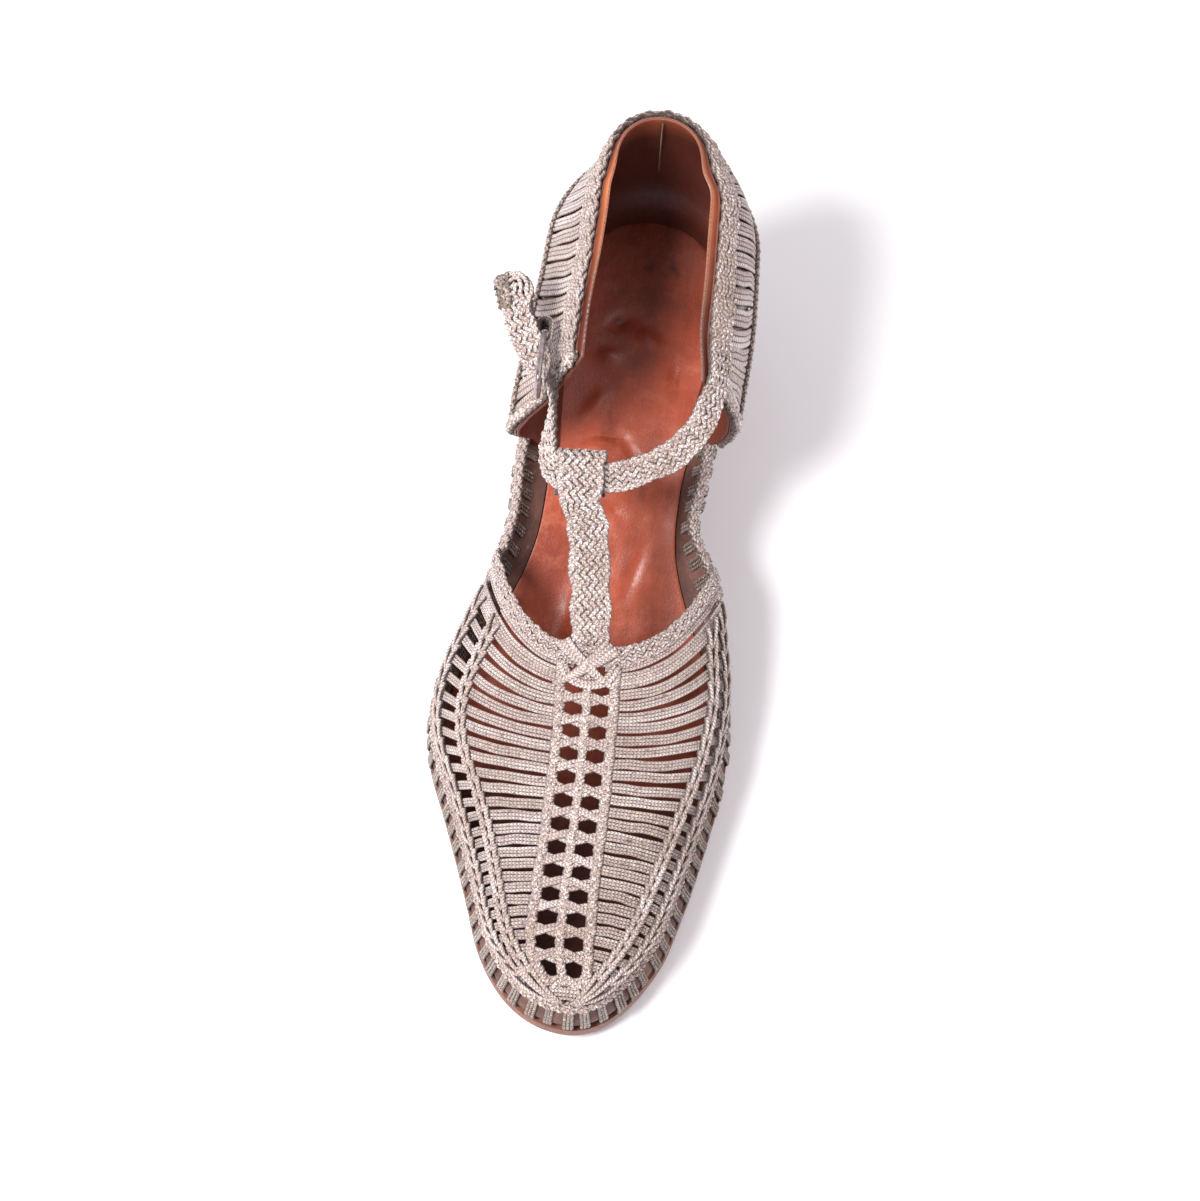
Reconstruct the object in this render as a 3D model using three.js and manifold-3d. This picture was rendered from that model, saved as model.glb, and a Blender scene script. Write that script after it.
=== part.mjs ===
// A woven T-bar sandal for the right foot, in millimetres.
// The toe points along -Y, the inner side of the foot is +X and Z is up.
// The origin is the centre of the heel's ground face.
import * as THREE from "three";
import { mergeVertices } from "three/addons/utils/BufferGeometryUtils.js";
import Module from "manifold-3d";

// Sole
const SOLE_LENGTH = 243;
const BALL_WIDTH = 87;
const HEEL_HEIGHT = 45;
const TOE_SPRING = 6;
const OUTSOLE_THICKNESS = 4;
const INSOLE_THICKNESS = 2.5;
const INSOLE_DISH = 1.2;
const HEEL_BACK_Y = 27;
const HEEL_END_LENGTH = 28;
const TOE_END_LENGTH = 30.4;

// Heel
const TOP_PIECE_THICKNESS = 5;
const HEEL_BREAST_LENGTH = 57;
const HEEL_TAPER = 5.5;
const HEEL_BACK_CURVE = 1.6;
const HEEL_SEAT_INSET = 0.9;
const BREAST_HOLLOW = 2.5;

// Rand, edge plait and the walls of the upper
const CLEARANCE = 0.3;
const RAND_HEIGHT = 6;
const RAND_THICKNESS = 1.8;
const PLAIT_HEIGHT = 4.2;
const PLAIT_THICKNESS = 3.4;
const WEAVE_THICKNESS = 1.8;
const RIB_RAISE = 0.8;
const QUARTER_THICKNESS = 2.6;
const STRIP_RAISE = 0.7;
const QUARTER_LENGTH = 78;
const QUARTER_BACK_HEIGHT = 56;
const QUARTER_FRONT_HEIGHT = 49;
const COLLAR_BAND = 8;
const QUARTER_RIB = 2.6;
const QUARTER_STRIPS = 44;
const STRIP_SLANT = 13;

// Vamp
const VAMP_LENGTH = 100;
const INSTEP_HEIGHT = 40;
const TOE_BOX_HEIGHT = 20;
const VAMP_SWELL = 2.2;
const WEAVE_PERIODS = 13;
const PERIOD_GROWTH = 1.06;
const THROAT_BAND = 0.085;
const TOE_BAND = 0.045;

// Straps and buckle
const T_STRAP_WIDTH = 11.5;
const T_STRAP_THICKNESS = 2;
const ANKLE_STRAP_WIDTH = 8.6;
const ANKLE_STRAP_THICKNESS = 2;
const SLEEVE_PLAY = 0.8;
const SLEEVE_OVERLAP = 3;
const BUCKLE_LENGTH = 17;
const BUCKLE_WIRE = 1.6;
const BUCKLE_WIDTH = ANKLE_STRAP_WIDTH + 2 * BUCKLE_WIRE + 2 * CLEARANCE;
const TAB_WIDTH = 7;
const TAB_THICKNESS = 1.2;
const TAB_LENGTH = 9;

// Sole edge and underside, a row for each station.
// along: share of SOLE_LENGTH from the back; medial and lateral: share of BALL_WIDTH; rise: share of HEEL_HEIGHT.
const SOLE_ROWS = [
  { along: 0.0, medial: 0.31, lateral: 0.31, rise: 1.0 },
  { along: 0.1, medial: 0.31, lateral: 0.31, rise: 0.965 },
  { along: 0.2, medial: 0.293, lateral: 0.31, rise: 0.915 },
  { along: 0.3, medial: 0.24, lateral: 0.298, rise: 0.79 },
  { along: 0.36, medial: 0.217, lateral: 0.295, rise: 0.66 },
  { along: 0.42, medial: 0.225, lateral: 0.316, rise: 0.5 },
  { along: 0.48, medial: 0.29, lateral: 0.385, rise: 0.325 },
  { along: 0.53, medial: 0.365, lateral: 0.468, rise: 0.185 },
  { along: 0.58, medial: 0.418, lateral: 0.54, rise: 0.075 },
  { along: 0.63, medial: 0.43, lateral: 0.567, rise: 0.0 },
  { along: 0.68, medial: 0.42, lateral: 0.548, rise: 0.0 },
  { along: 0.74, medial: 0.392, lateral: 0.483, rise: 0.0 },
  { along: 0.81, medial: 0.352, lateral: 0.41, rise: 0.0 },
  { along: 0.88, medial: 0.303, lateral: 0.345, rise: 0.0 },
  { along: 0.94, medial: 0.262, lateral: 0.312, rise: 0.0 },
  { along: 1.0, medial: 0.24, lateral: 0.3, rise: 0.0 },
];
const SPRING_START = 0.74;

// Front edges of the quarter.
// along: share of its height from the foot to the collar; medial and lateral: share of QUARTER_LENGTH.
const FRONT_ROWS = [
  { along: 0.0, medial: 0.98, lateral: 1.02 },
  { along: 0.3, medial: 0.99, lateral: 1.07 },
  { along: 0.7, medial: 1.0, lateral: 1.05 },
  { along: 1.0, medial: 1.0, lateral: 0.96 },
];

// Path of the ankle strap from the medial quarter through the sleeve and the buckle to its loose end.
// along: share of the path; side: share of BALL_WIDTH; back: share of QUARTER_LENGTH; up: share of HEEL_HEIGHT;
// faceX, faceY, faceZ: which way its outer face looks.
const ANKLE_ROWS = [
  { along: 0.0, side: 0.25, back: 1.047, up: 1.935, faceX: 0.62, faceY: -0.25, faceZ: 0.72 },
  { along: 0.1, side: 0.222, back: 1.140, up: 1.88, faceX: 0.4, faceY: -0.35, faceZ: 0.85 },
  { along: 0.2, side: 0.142, back: 1.246, up: 1.8, faceX: 0.15, faceY: -0.5, faceZ: 0.85 },
  { along: 0.29, side: 0.01, back: 1.318, up: 1.735, faceX: 0, faceY: -0.57, faceZ: 0.82 },
  { along: 0.36, side: -0.07, back: 1.337, up: 1.715, faceX: 0, faceY: -0.57, faceZ: 0.82 },
  { along: 0.42, side: -0.14, back: 1.338, up: 1.714, faceX: 0, faceY: -0.57, faceZ: 0.82 },
  { along: 0.48, side: -0.21, back: 1.338, up: 1.714, faceX: 0, faceY: -0.57, faceZ: 0.82 },
  { along: 0.55, side: -0.252, back: 1.265, up: 1.735, faceX: -0.85, faceY: -0.45, faceZ: 0.5 },
  { along: 0.63, side: -0.253, back: 1.122, up: 1.85, faceX: -1, faceY: -0.1, faceZ: 0.05 },
  { along: 0.7, side: -0.266, back: 1.047, up: 1.93, faceX: -1, faceY: 0.3, faceZ: 0 },
  { along: 0.77, side: -0.346, back: 0.931, up: 2.02, faceX: -1, faceY: 0.35, faceZ: 0.1 },
  { along: 0.84, side: -0.398, back: 0.829, up: 2.1, faceX: -0.95, faceY: 0.05, faceZ: 0.3 },
  { along: 0.92, side: -0.41, back: 0.754, up: 2.16, faceX: -0.5, faceY: -0.2, faceZ: 0.85 },
  { along: 1.0, side: -0.465, back: 0.754, up: 2.07, faceX: -0.6, faceY: -0.5, faceZ: 0.65 },
];
const SLEEVE_AT = 0.42;

// Path of the T-strap from the throat up to the sleeve.
// along: share of the path; side: share of BALL_WIDTH; reach and lift: shares of the way back and up from the
// throat to the sleeve.
const T_STRAP_ROWS = [
  { along: 0.0, side: -0.055, reach: -0.1, lift: -0.1 },
  { along: 0.12, side: -0.056, reach: 0.05, lift: 0.04 },
  { along: 0.4, side: -0.07, reach: 0.36, lift: 0.3 },
  { along: 0.7, side: -0.088, reach: 0.68, lift: 0.62 },
  { along: 1.0, side: -0.11, reach: 1.0, lift: 1.0 },
];

// How far the foot of the wall stands out from the sole edge, a row for each station, as shares of BALL_WIDTH.
// welt: inset of the wall's foot; randM, randL: medial and lateral offsets at the rand's top.
const FOOT_ROWS = [
  { along: 0.0, welt: 0.012, randM: -0.006, randL: -0.006 },
  { along: 0.05, welt: 0.012, randM: -0.002, randL: -0.002 },
  { along: 0.1, welt: 0.012, randM: 0.004, randL: 0.004 },
  { along: 0.18, welt: 0.012, randM: 0.012, randL: 0.013 },
  { along: 0.26, welt: 0.012, randM: 0.028, randL: 0.035 },
  { along: 0.32, welt: 0.012, randM: 0.042, randL: 0.062 },
  { along: 0.36, welt: 0.012, randM: 0.042, randL: 0.07 },
  { along: 0.4, welt: 0.013, randM: 0.028, randL: 0.06 },
  { along: 0.44, welt: 0.015, randM: 0.055, randL: 0.05 },
  { along: 0.48, welt: 0.017, randM: 0.066, randL: 0.037 },
  { along: 0.53, welt: 0.019, randM: 0.018, randL: 0.015 },
  { along: 0.6, welt: 0.02, randM: -0.018, randL: -0.01 },
  { along: 0.7, welt: 0.02, randM: -0.028, randL: -0.019 },
  { along: 0.8, welt: 0.02, randM: -0.034, randL: -0.024 },
  { along: 1.0, welt: 0.02, randM: -0.03, randL: -0.03 },
];

// How far the wall stands out above the rand, as shares of BALL_WIDTH.
// bulgeM, bulgeL: offsets at the widest height; topM, topL: offsets at the collar.
const TOP_ROWS = [
  { along: 0.0, bulgeM: 0.015, bulgeL: 0.01, topM: -0.035, topL: -0.035 },
  { along: 0.05, bulgeM: 0.02, bulgeL: 0.01, topM: -0.112, topL: -0.12 },
  { along: 0.1, bulgeM: 0.03, bulgeL: 0.016, topM: -0.105, topL: -0.138 },
  { along: 0.18, bulgeM: 0.052, bulgeL: 0.03, topM: -0.088, topL: -0.133 },
  { along: 0.26, bulgeM: 0.085, bulgeL: 0.062, topM: -0.05, topL: -0.108 },
  { along: 0.32, bulgeM: 0.105, bulgeL: 0.085, topM: 0.005, topL: -0.1 },
  { along: 0.36, bulgeM: 0.11, bulgeL: 0.09, topM: 0.01, topL: -0.1 },
  { along: 0.4, bulgeM: 0.11, bulgeL: 0.09, topM: 0.01, topL: -0.1 },
  { along: 1.0, bulgeM: 0.11, bulgeL: 0.09, topM: 0.01, topL: -0.1 },
];
const SHOULDER = { M: 0.3, L: 0.55 };
const SHOULDER_HEIGHT = 0.8;

// Ridge of the vamp from the throat to the toe.
// along: share of the vamp's length; side: share of BALL_WIDTH from the axis, medial positive;
// height: share of the way from TOE_BOX_HEIGHT to INSTEP_HEIGHT.
const RIDGE_ROWS = [
  { along: 0.0, side: -0.055, height: 1.0 },
  { along: 0.2, side: -0.046, height: 0.76 },
  { along: 0.4, side: -0.044, height: 0.5 },
  { along: 0.6, side: -0.048, height: 0.28 },
  { along: 0.8, side: -0.05, height: 0.09 },
  { along: 0.9, side: -0.045, height: 0.0 },
  { along: 1.0, side: -0.02, height: -0.1 },
];
const TOE_ROUND = 0.2;

// Interpolates one column of a table with smooth cubics.
function column(rows, key, at) {
  const x = rows.map((row) => row.along);
  const y = rows.map((row) => row[key]);
  const slope = (i) => {
    const a = Math.max(0, i - 1);
    const b = Math.min(x.length - 1, i + 1);
    return (y[b] - y[a]) / (x[b] - x[a]);
  };
  const t = Math.min(Math.max(at, x[0]), x[x.length - 1]);
  let i = 0;
  while (i < x.length - 2 && t > x[i + 1]) i += 1;
  const span = x[i + 1] - x[i];
  const s = (t - x[i]) / span;
  const curve = [2 * s ** 3 - 3 * s ** 2 + 1, s ** 3 - 2 * s ** 2 + s, -2 * s ** 3 + 3 * s ** 2, s ** 3 - s ** 2];
  return curve[0] * y[i] + curve[1] * span * slope(i) + curve[2] * y[i + 1] + curve[3] * span * slope(i + 1);
}

const lerp = (a, b, t) => a + (b - a) * t;
const clamp = (t) => Math.min(Math.max(t, 0), 1);
const smooth = (t) => clamp(t) ** 2 * (3 - 2 * clamp(t));

// Narrowing of the sole towards its two round ends.
function endRound(along) {
  const heel = HEEL_END_LENGTH / SOLE_LENGTH;
  const toe = TOE_END_LENGTH / SOLE_LENGTH;
  if (along < heel) return Math.sqrt(Math.max(0, 1 - ((heel - along) / heel) ** 2));
  if (along > 1 - toe) return Math.sqrt(Math.max(0, 1 - ((along - 1 + toe) / toe) ** 2));
  return 1;
}

// Underside of the sole: on the ground under the ball, up to the heel seat and with the toe's spring.
function soleRise(along) {
  const spring = clamp((along - SPRING_START) / (1 - SPRING_START));
  return Math.max(0, column(SOLE_ROWS, "rise", along)) * HEEL_HEIGHT + TOE_SPRING * spring ** 2;
}
const insoleTop = (along) => soleRise(along) + OUTSOLE_THICKNESS + CLEARANCE + INSOLE_THICKNESS;

// Sole edge: side is 1 on the medial and -1 on the lateral side, turn runs from 0 at the heel to 1 at the toe.
const alongOf = (turn) => (1 - Math.cos(Math.PI * turn)) / 2;
const turnOf = (along) => Math.acos(1 - 2 * along) / Math.PI;
const alongAt = (y) => clamp((HEEL_BACK_Y - y) / SOLE_LENGTH);
function edgePoint(side, turn) {
  const along = alongOf(turn);
  const half = column(SOLE_ROWS, side > 0 ? "medial" : "lateral", along) * BALL_WIDTH * endRound(along);
  return new THREE.Vector2(side * half, HEEL_BACK_Y - along * SOLE_LENGTH);
}
function edgeNormal(side, turn) {
  const step = 0.004;
  const at = (t) => (t < 0 ? edgePoint(-side, -t) : t > 1 ? edgePoint(-side, 2 - t) : edgePoint(side, t));
  const along = at(turn + step).sub(at(turn - step)).normalize();
  return new THREE.Vector2(-along.y * side, along.x * side);
}

// A point out from the sole edge by `out` and `height` above the insole.
function rimPoint(side, turn, out, height) {
  const base = edgePoint(side, turn).addScaledVector(edgeNormal(side, turn), out);
  return new THREE.Vector3(base.x, base.y, insoleTop(alongAt(base.y)) + height);
}

// Offset of the wall from the sole edge at a height above the insole.
const BULGE_HEIGHT = 24;
function collarHeight(along) {
  const share = (along * SOLE_LENGTH) / QUARTER_LENGTH;
  return lerp(QUARTER_BACK_HEIGHT, QUARTER_FRONT_HEIGHT, smooth(1.15 * share));
}
function wallOut(side, along, height) {
  const letter = side > 0 ? "M" : "L";
  const collar = collarHeight(along);
  const at = (table, key) => column(table, key, along) * BALL_WIDTH;
  const bulge = at(TOP_ROWS, "bulge" + letter);
  const top = at(TOP_ROWS, "top" + letter);
  const rows = [
    { along: 0, out: -at(FOOT_ROWS, "welt") },
    { along: RAND_HEIGHT, out: at(FOOT_ROWS, "rand" + letter) },
    { along: BULGE_HEIGHT, out: bulge },
    { along: SHOULDER_HEIGHT * collar, out: lerp(bulge, top, SHOULDER[letter]) },
    { along: collar, out: top },
  ];
  return column(rows, "out", height);
}

// Builds a closed mesh from two grids of points and a rule for which cells are solid.
// outer[i][j] and inner[i][j] face each other across the wall; loop joins the last row to the first.
function wallMesh(outer, inner, isSolid = () => true, loop = false) {
  const rows = outer.length;
  const columns = outer[0].length;
  const cellRows = loop ? rows : rows - 1;
  const position = [];
  const quad = (a, b, c, d) => {
    for (const p of [a, b, c, a, c, d]) position.push(p.x, p.y, p.z);
  };
  const solid = (i, j) => {
    if (j < 0 || j >= columns - 1) return false;
    if (loop) return isSolid((i + cellRows) % cellRows, j);
    return i >= 0 && i < cellRows && isSolid(i, j);
  };
  for (let i = 0; i < cellRows; i += 1) {
    const n = (i + 1) % rows;
    for (let j = 0; j < columns - 1; j += 1) {
      if (!solid(i, j)) continue;
      quad(outer[i][j], outer[n][j], outer[n][j + 1], outer[i][j + 1]);
      quad(inner[i][j], inner[i][j + 1], inner[n][j + 1], inner[n][j]);
      if (!solid(i - 1, j)) quad(outer[i][j], outer[i][j + 1], inner[i][j + 1], inner[i][j]);
      if (!solid(i + 1, j)) quad(outer[n][j + 1], outer[n][j], inner[n][j], inner[n][j + 1]);
      if (!solid(i, j - 1)) quad(outer[n][j], outer[i][j], inner[i][j], inner[n][j]);
      if (!solid(i, j + 1)) quad(outer[i][j + 1], outer[n][j + 1], inner[n][j + 1], inner[i][j + 1]);
    }
  }
  return closedGeometry(position);
}

// Merges a triangle list's points, drops triangles without area and turns it outwards.
function closedGeometry(position) {
  const loose = new THREE.BufferGeometry();
  loose.setAttribute("position", new THREE.Float32BufferAttribute(position, 3));
  const merged = mergeVertices(loose, 1e-3);
  const index = merged.index.array;
  const at = merged.attributes.position;
  const kept = [];
  let volume = 0;
  const [a, b, c] = [new THREE.Vector3(), new THREE.Vector3(), new THREE.Vector3()];
  for (let k = 0; k < index.length; k += 3) {
    const [i, j, n] = [index[k], index[k + 1], index[k + 2]];
    if (i === j || j === n || n === i) continue;
    kept.push(i, j, n);
    volume += a.fromBufferAttribute(at, i).dot(b.fromBufferAttribute(at, j).cross(c.fromBufferAttribute(at, n)));
  }
  if (volume < 0) for (let k = 0; k < kept.length; k += 3) [kept[k], kept[k + 1]] = [kept[k + 1], kept[k]];
  merged.setIndex(kept);
  merged.computeVertexNormals();
  return merged;
}

// Offsets a surface point along its normal, found from its neighbours.
function offsetPoint(surface, a, b, distance) {
  const step = 1e-3;
  const along = surface(a + step, b).sub(surface(a - step, b));
  const across = surface(a, b + step).sub(surface(a, b - step));
  const normal = along.cross(across).normalize();
  return surface(a, b).addScaledVector(normal, distance);
}

const material = (name, color, roughness, metalness = 0) =>
  new THREE.MeshStandardMaterial({ name, color, roughness, metalness, flatShading: true });
const CORD = material("woven_cord", 0xa9a09a, 0.55, 0.15);
const SOLE_LEATHER = material("sole_leather", 0x7a4a38, 0.6);
const INSOLE_LEATHER = material("insole_leather", 0x9c4426, 0.45);
const RAND_LEATHER = material("rand_leather", 0x6a4034, 0.7);
const HEEL_LEATHER = material("heel_leather", 0x5a231c, 0.4);
const TOP_PIECE = material("top_piece_rubber", 0x2b2320, 0.8);
const BUCKLE_METAL = material("buckle_metal", 0x9d8f90, 0.35, 0.8);

const sandal = new THREE.Group();
function addPiece(name, geometry, finish) {
  const mesh = new THREE.Mesh(geometry, finish);
  mesh.name = name;
  sandal.add(mesh);
}

// Numbers from 0 to 1 in equal steps.
const even = (count) => Array.from({ length: count + 1 }, (_, i) => i / count);

// A flat layer that follows the sole: inset from its edge, between two heights over the sole's underside.
function soleLayer({ inset, low, high, stations, dish = 0 }) {
  const across = [-1, -0.5, 0, 0.5, 1];
  const layer = (level, hollow) =>
    even(stations).map((turn) => {
      const left = edgePoint(-1, turn).addScaledVector(edgeNormal(-1, turn), -inset(-1, alongOf(turn)));
      const right = edgePoint(1, turn).addScaledVector(edgeNormal(1, turn), -inset(1, alongOf(turn)));
      return across.map((w) => {
        const p = left.clone().lerp(right, (w + 1) / 2);
        const along = alongAt(p.y);
        return new THREE.Vector3(p.x, p.y, level(along) - hollow * (1 - w * w) * Math.sin(Math.PI * turn));
      });
    });
  return wallMesh(layer(high, dish), layer(low, 0));
}

function addOutsole() {
  addPiece(
    "outsole",
    soleLayer({
      inset: () => 0,
      low: soleRise,
      high: (along) => soleRise(along) + OUTSOLE_THICKNESS,
      stations: 40,
    }),
    SOLE_LEATHER,
  );
}

function addInsole() {
  const foot = (side, along) => -wallOut(side, along, 0) + RAND_THICKNESS + CLEARANCE;
  addPiece(
    "insole",
    soleLayer({
      inset: foot,
      low: (along) => soleRise(along) + OUTSOLE_THICKNESS + CLEARANCE,
      high: insoleTop,
      stations: 40,
      dish: INSOLE_DISH,
    }),
    INSOLE_LEATHER,
  );
}

// Stations right round the rim, from the heel along the lateral side to the toe and back along the medial side.
function rimStations(perSide) {
  const list = [];
  for (let i = 0; i < perSide; i += 1) list.push({ side: -1, turn: i / perSide });
  for (let i = perSide; i > 0; i -= 1) list.push({ side: 1, turn: i / perSide });
  return list;
}

// The leather strip that stands round the insole and holds the cords.
function addRand() {
  const base = OUTSOLE_THICKNESS + CLEARANCE - (insoleTop(0) - soleRise(0));
  const levels = [base, 0, RAND_HEIGHT];
  const stations = rimStations(40);
  const face = (inset) =>
    stations.map(({ side, turn }) =>
      levels.map((height) =>
        rimPoint(side, turn, wallOut(side, alongOf(turn), Math.max(0, height)) - inset, height),
      ),
    );
  addPiece("rand", wallMesh(face(0), face(RAND_THICKNESS), () => true, true), RAND_LEATHER);
}

const PLAIT_CENTRE = RAND_HEIGHT + CLEARANCE + PLAIT_HEIGHT / 2;
const WALL_START = RAND_HEIGHT + 2 * CLEARANCE + PLAIT_HEIGHT;
const VAMP_START = WALL_START + CLEARANCE;

// The plait that runs right round the shoe on the rand's top edge.
function addEdgePlait() {
  const stations = rimStations(40);
  const sides = 6;
  const ring = stations.map(({ side, turn }) => {
    const middle = wallOut(side, alongOf(turn), RAND_HEIGHT) - RAND_THICKNESS / 2;
    return even(sides).map((t) => {
      const angle = 2 * Math.PI * (t + 0.5 / sides);
      const out = middle + (PLAIT_THICKNESS * Math.cos(angle)) / 2;
      return rimPoint(side, turn, out, PLAIT_CENTRE + (PLAIT_HEIGHT * Math.sin(angle)) / 2);
    });
  });
  const position = [];
  const count = stations.length;
  for (let i = 0; i < count; i += 1) {
    for (let j = 0; j < sides; j += 1) {
      const [a, b] = [ring[i], ring[(i + 1) % count]];
      for (const p of [a[j], b[j], b[j + 1], a[j], b[j + 1], a[j + 1]]) position.push(p.x, p.y, p.z);
    }
  }
  addPiece("edge_plait", closedGeometry(position), CORD);
}

// Heel: a covered block under the seat and a top piece that stands on the ground.
function heelInset(level) {
  const drop = 1 - level;
  return HEEL_SEAT_INSET + HEEL_TAPER * drop + HEEL_BACK_CURVE * Math.sin(Math.PI * drop);
}
function heelRing(level, stations) {
  const breast = turnOf((HEEL_BREAST_LENGTH - BREAST_HOLLOW * Math.sin(Math.PI * level)) / SOLE_LENGTH);
  const inset = heelInset(level);
  return even(stations).map((share) => {
    const turn = breast * share;
    const left = edgePoint(-1, turn).addScaledVector(edgeNormal(-1, turn), -inset);
    const right = edgePoint(1, turn).addScaledVector(edgeNormal(1, turn), -inset);
    return { left, right, seat: soleRise(alongAt(left.y)) - CLEARANCE };
  });
}
function heelSolid(levels) {
  const stations = 16;
  const low = TOP_PIECE_THICKNESS + CLEARANCE;
  const rings = levels.map((level) =>
    heelRing(level, stations).map(({ left, right, seat }) => {
      const z = lerp(low, seat, level);
      return [new THREE.Vector3(left.x, left.y, z), new THREE.Vector3(right.x, right.y, z)];
    }),
  );
  const position = [];
  const quad = (a, b, c, d) => {
    for (const p of [a, b, c, a, c, d]) position.push(p.x, p.y, p.z);
  };
  const [bottom, top] = [rings[0], rings[rings.length - 1]];
  for (let i = 0; i < stations; i += 1) {
    quad(bottom[i][0], bottom[i][1], bottom[i + 1][1], bottom[i + 1][0]);
    quad(top[i][0], top[i + 1][0], top[i + 1][1], top[i][1]);
    for (let k = 0; k < rings.length - 1; k += 1) {
      quad(rings[k][i][1], rings[k + 1][i][1], rings[k + 1][i + 1][1], rings[k][i + 1][1]);
      quad(rings[k][i][0], rings[k][i + 1][0], rings[k + 1][i + 1][0], rings[k + 1][i][0]);
    }
  }
  for (let k = 0; k < rings.length - 1; k += 1) {
    const [a, b] = [rings[k][stations], rings[k + 1][stations]];
    quad(a[0], a[1], b[1], b[0]);
  }
  return closedGeometry(position);
}
function addHeel() {
  addPiece("heel_block", heelSolid(even(8)), HEEL_LEATHER);
  const stations = 16;
  const ring = heelRing(0, stations);
  const face = (z) => ring.map(({ left, right }) => [left, right].map((p) => new THREE.Vector3(p.x, p.y, z)));
  addPiece("heel_top_piece", wallMesh(face(TOP_PIECE_THICKNESS), face(0)), TOP_PIECE);
}

// The quarter's wall: place runs from -1 at the lateral front over 0 at the back to 1 at the medial front,
// level from 0 at the edge plait to 1 at the collar.
function quarterWall(place, level) {
  const side = place < 0 ? -1 : 1;
  const front = column(FRONT_ROWS, side < 0 ? "lateral" : "medial", clamp(level)) * QUARTER_LENGTH;
  const turn = turnOf(front / SOLE_LENGTH) * Math.abs(place);
  const height = lerp(WALL_START, collarHeight(alongOf(turn)), level);
  return rimPoint(side, turn, wallOut(side, alongOf(turn), height), height);
}
function addQuarter() {
  const span = QUARTER_BACK_HEIGHT - WALL_START;
  const rib = 0.36;
  const ribHalf = QUARTER_RIB / 2 / span;
  const levels = [0, 0.09, rib - ribHalf, rib + ribHalf, 0.62, 1 - COLLAR_BAND / span, 1];
  const stations = 2 * QUARTER_STRIPS;
  const slant = (level) => (STRIP_SLANT * (level - rib)) / QUARTER_LENGTH;
  const flat = (level) => level < 0.05 || level > 0.99;
  const places = even(stations).map((t) => 2 * t - 1);
  const shifted = (place, level) => {
    const towards = place < 0 ? -1 : 1;
    const fade = smooth((1 - Math.abs(place)) / 0.2) * smooth(Math.abs(place) / 0.12);
    return place + (flat(level) ? 0 : towards * slant(level) * fade);
  };
  const grid = (depth) =>
    places.map((place, i) =>
      levels.map((level, j) => {
        const strip = j > 0 && j < levels.length - 1 && i % 2 === 0 ? 0 : STRIP_RAISE;
        const raised = j === 2 || j === 3 ? STRIP_RAISE : strip;
        const out = depth === 0 ? raised : -QUARTER_THICKNESS + STRIP_RAISE;
        return offsetPoint(quarterWall, shifted(place, level), level, -out);
      }),
    );
  addPiece("quarter", wallMesh(grid(0), grid(1)), CORD);
}

// The vamp's surface: run goes from 0 at the throat to 1 at the toe, across from -1 lateral to 1 medial.
const THROAT_ALONG = 1 - VAMP_LENGTH / SOLE_LENGTH;
const THROAT_CORNER = { medial: 0.453, lateral: 0.453 };
const THROAT_FADE = 0.55;
const SECTION_POWER = 0.9;
const THROAT_POWER = 2.5;
function vampRim(side, run) {
  const corner = side > 0 ? THROAT_CORNER.medial : THROAT_CORNER.lateral;
  const depth = (THROAT_ALONG - corner) * (1 - smooth(run / THROAT_FADE));
  const turn = turnOf(clamp(lerp(THROAT_ALONG, 1, run) - depth));
  return rimPoint(side, turn, wallOut(side, alongOf(turn), RAND_HEIGHT) - RAND_THICKNESS / 2, VAMP_START);
}
function ridgePoint(run) {
  const tip = vampRim(1, 1);
  const along = lerp(THROAT_ALONG, (HEEL_BACK_Y - tip.y) / SOLE_LENGTH, run);
  const height = lerp(TOE_BOX_HEIGHT, INSTEP_HEIGHT, column(RIDGE_ROWS, "height", run));
  const round = Math.sqrt(Math.max(0, 1 - Math.max(0, (run - 1 + TOE_ROUND) / TOE_ROUND) ** 2));
  const x = lerp(tip.x, column(RIDGE_ROWS, "side", run) * BALL_WIDTH, Math.sqrt(round));
  return new THREE.Vector3(x, HEEL_BACK_Y - along * SOLE_LENGTH, insoleTop(along) + lerp(VAMP_START, height, round));
}
function vampSurface(run, across) {
  const rim = vampRim(across < 0 ? -1 : 1, run);
  const ridge = ridgePoint(run);
  const angle = (Math.abs(across) * Math.PI) / 2;
  const side = Math.sin(angle);
  const swell = VAMP_SWELL * Math.sin(2 * angle) * (1 - smooth((run - 0.8) / 0.2));
  const x = lerp(ridge.x, rim.x, side) + Math.sign(across) * swell;
  const y = lerp(rim.y, ridge.y, 1 - side ** THROAT_POWER);
  return new THREE.Vector3(x, y, lerp(rim.z, ridge.z, Math.cos(angle) ** SECTION_POWER));
}

// Where the weave's lines cross the vamp: distances from its middle line in millimetres, then shares of the
// way from the middle line to the rim, at the throat and at the toe.
const STRIP_HALF = 1.2;
const HOLE_OUTER = 5;
const BAND_HALF = 7.8;
const RIB_SHARES = { lateral: [0.79, 0.66, 0.945, 0.9], medial: [0.9, 0.64, 0.975, 0.9] };
const RIB_HALF_SHARE = 0.02;
function weaveLines(run, side) {
  const half = Math.abs(vampRim(side, run).x - ridgePoint(run).x);
  const [innerThroat, innerToe, outerThroat, outerToe] = RIB_SHARES[side > 0 ? "medial" : "lateral"];
  const [inner, outer] = [lerp(innerThroat, innerToe, run), lerp(outerThroat, outerToe, run)];
  const fit = Math.min(1, (0.8 * inner * half) / BAND_HALF);
  const band = (fit * BAND_HALF) / half;
  return {
    strip: (fit * STRIP_HALF) / half,
    hole: (fit * HOLE_OUTER) / half,
    band,
    middle: (band + inner - RIB_HALF_SHARE) / 2,
    innerRib: [inner - RIB_HALF_SHARE, inner + RIB_HALF_SHARE],
    outerRib: [outer - RIB_HALF_SHARE, outer + RIB_HALF_SHARE],
  };
}
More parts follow.
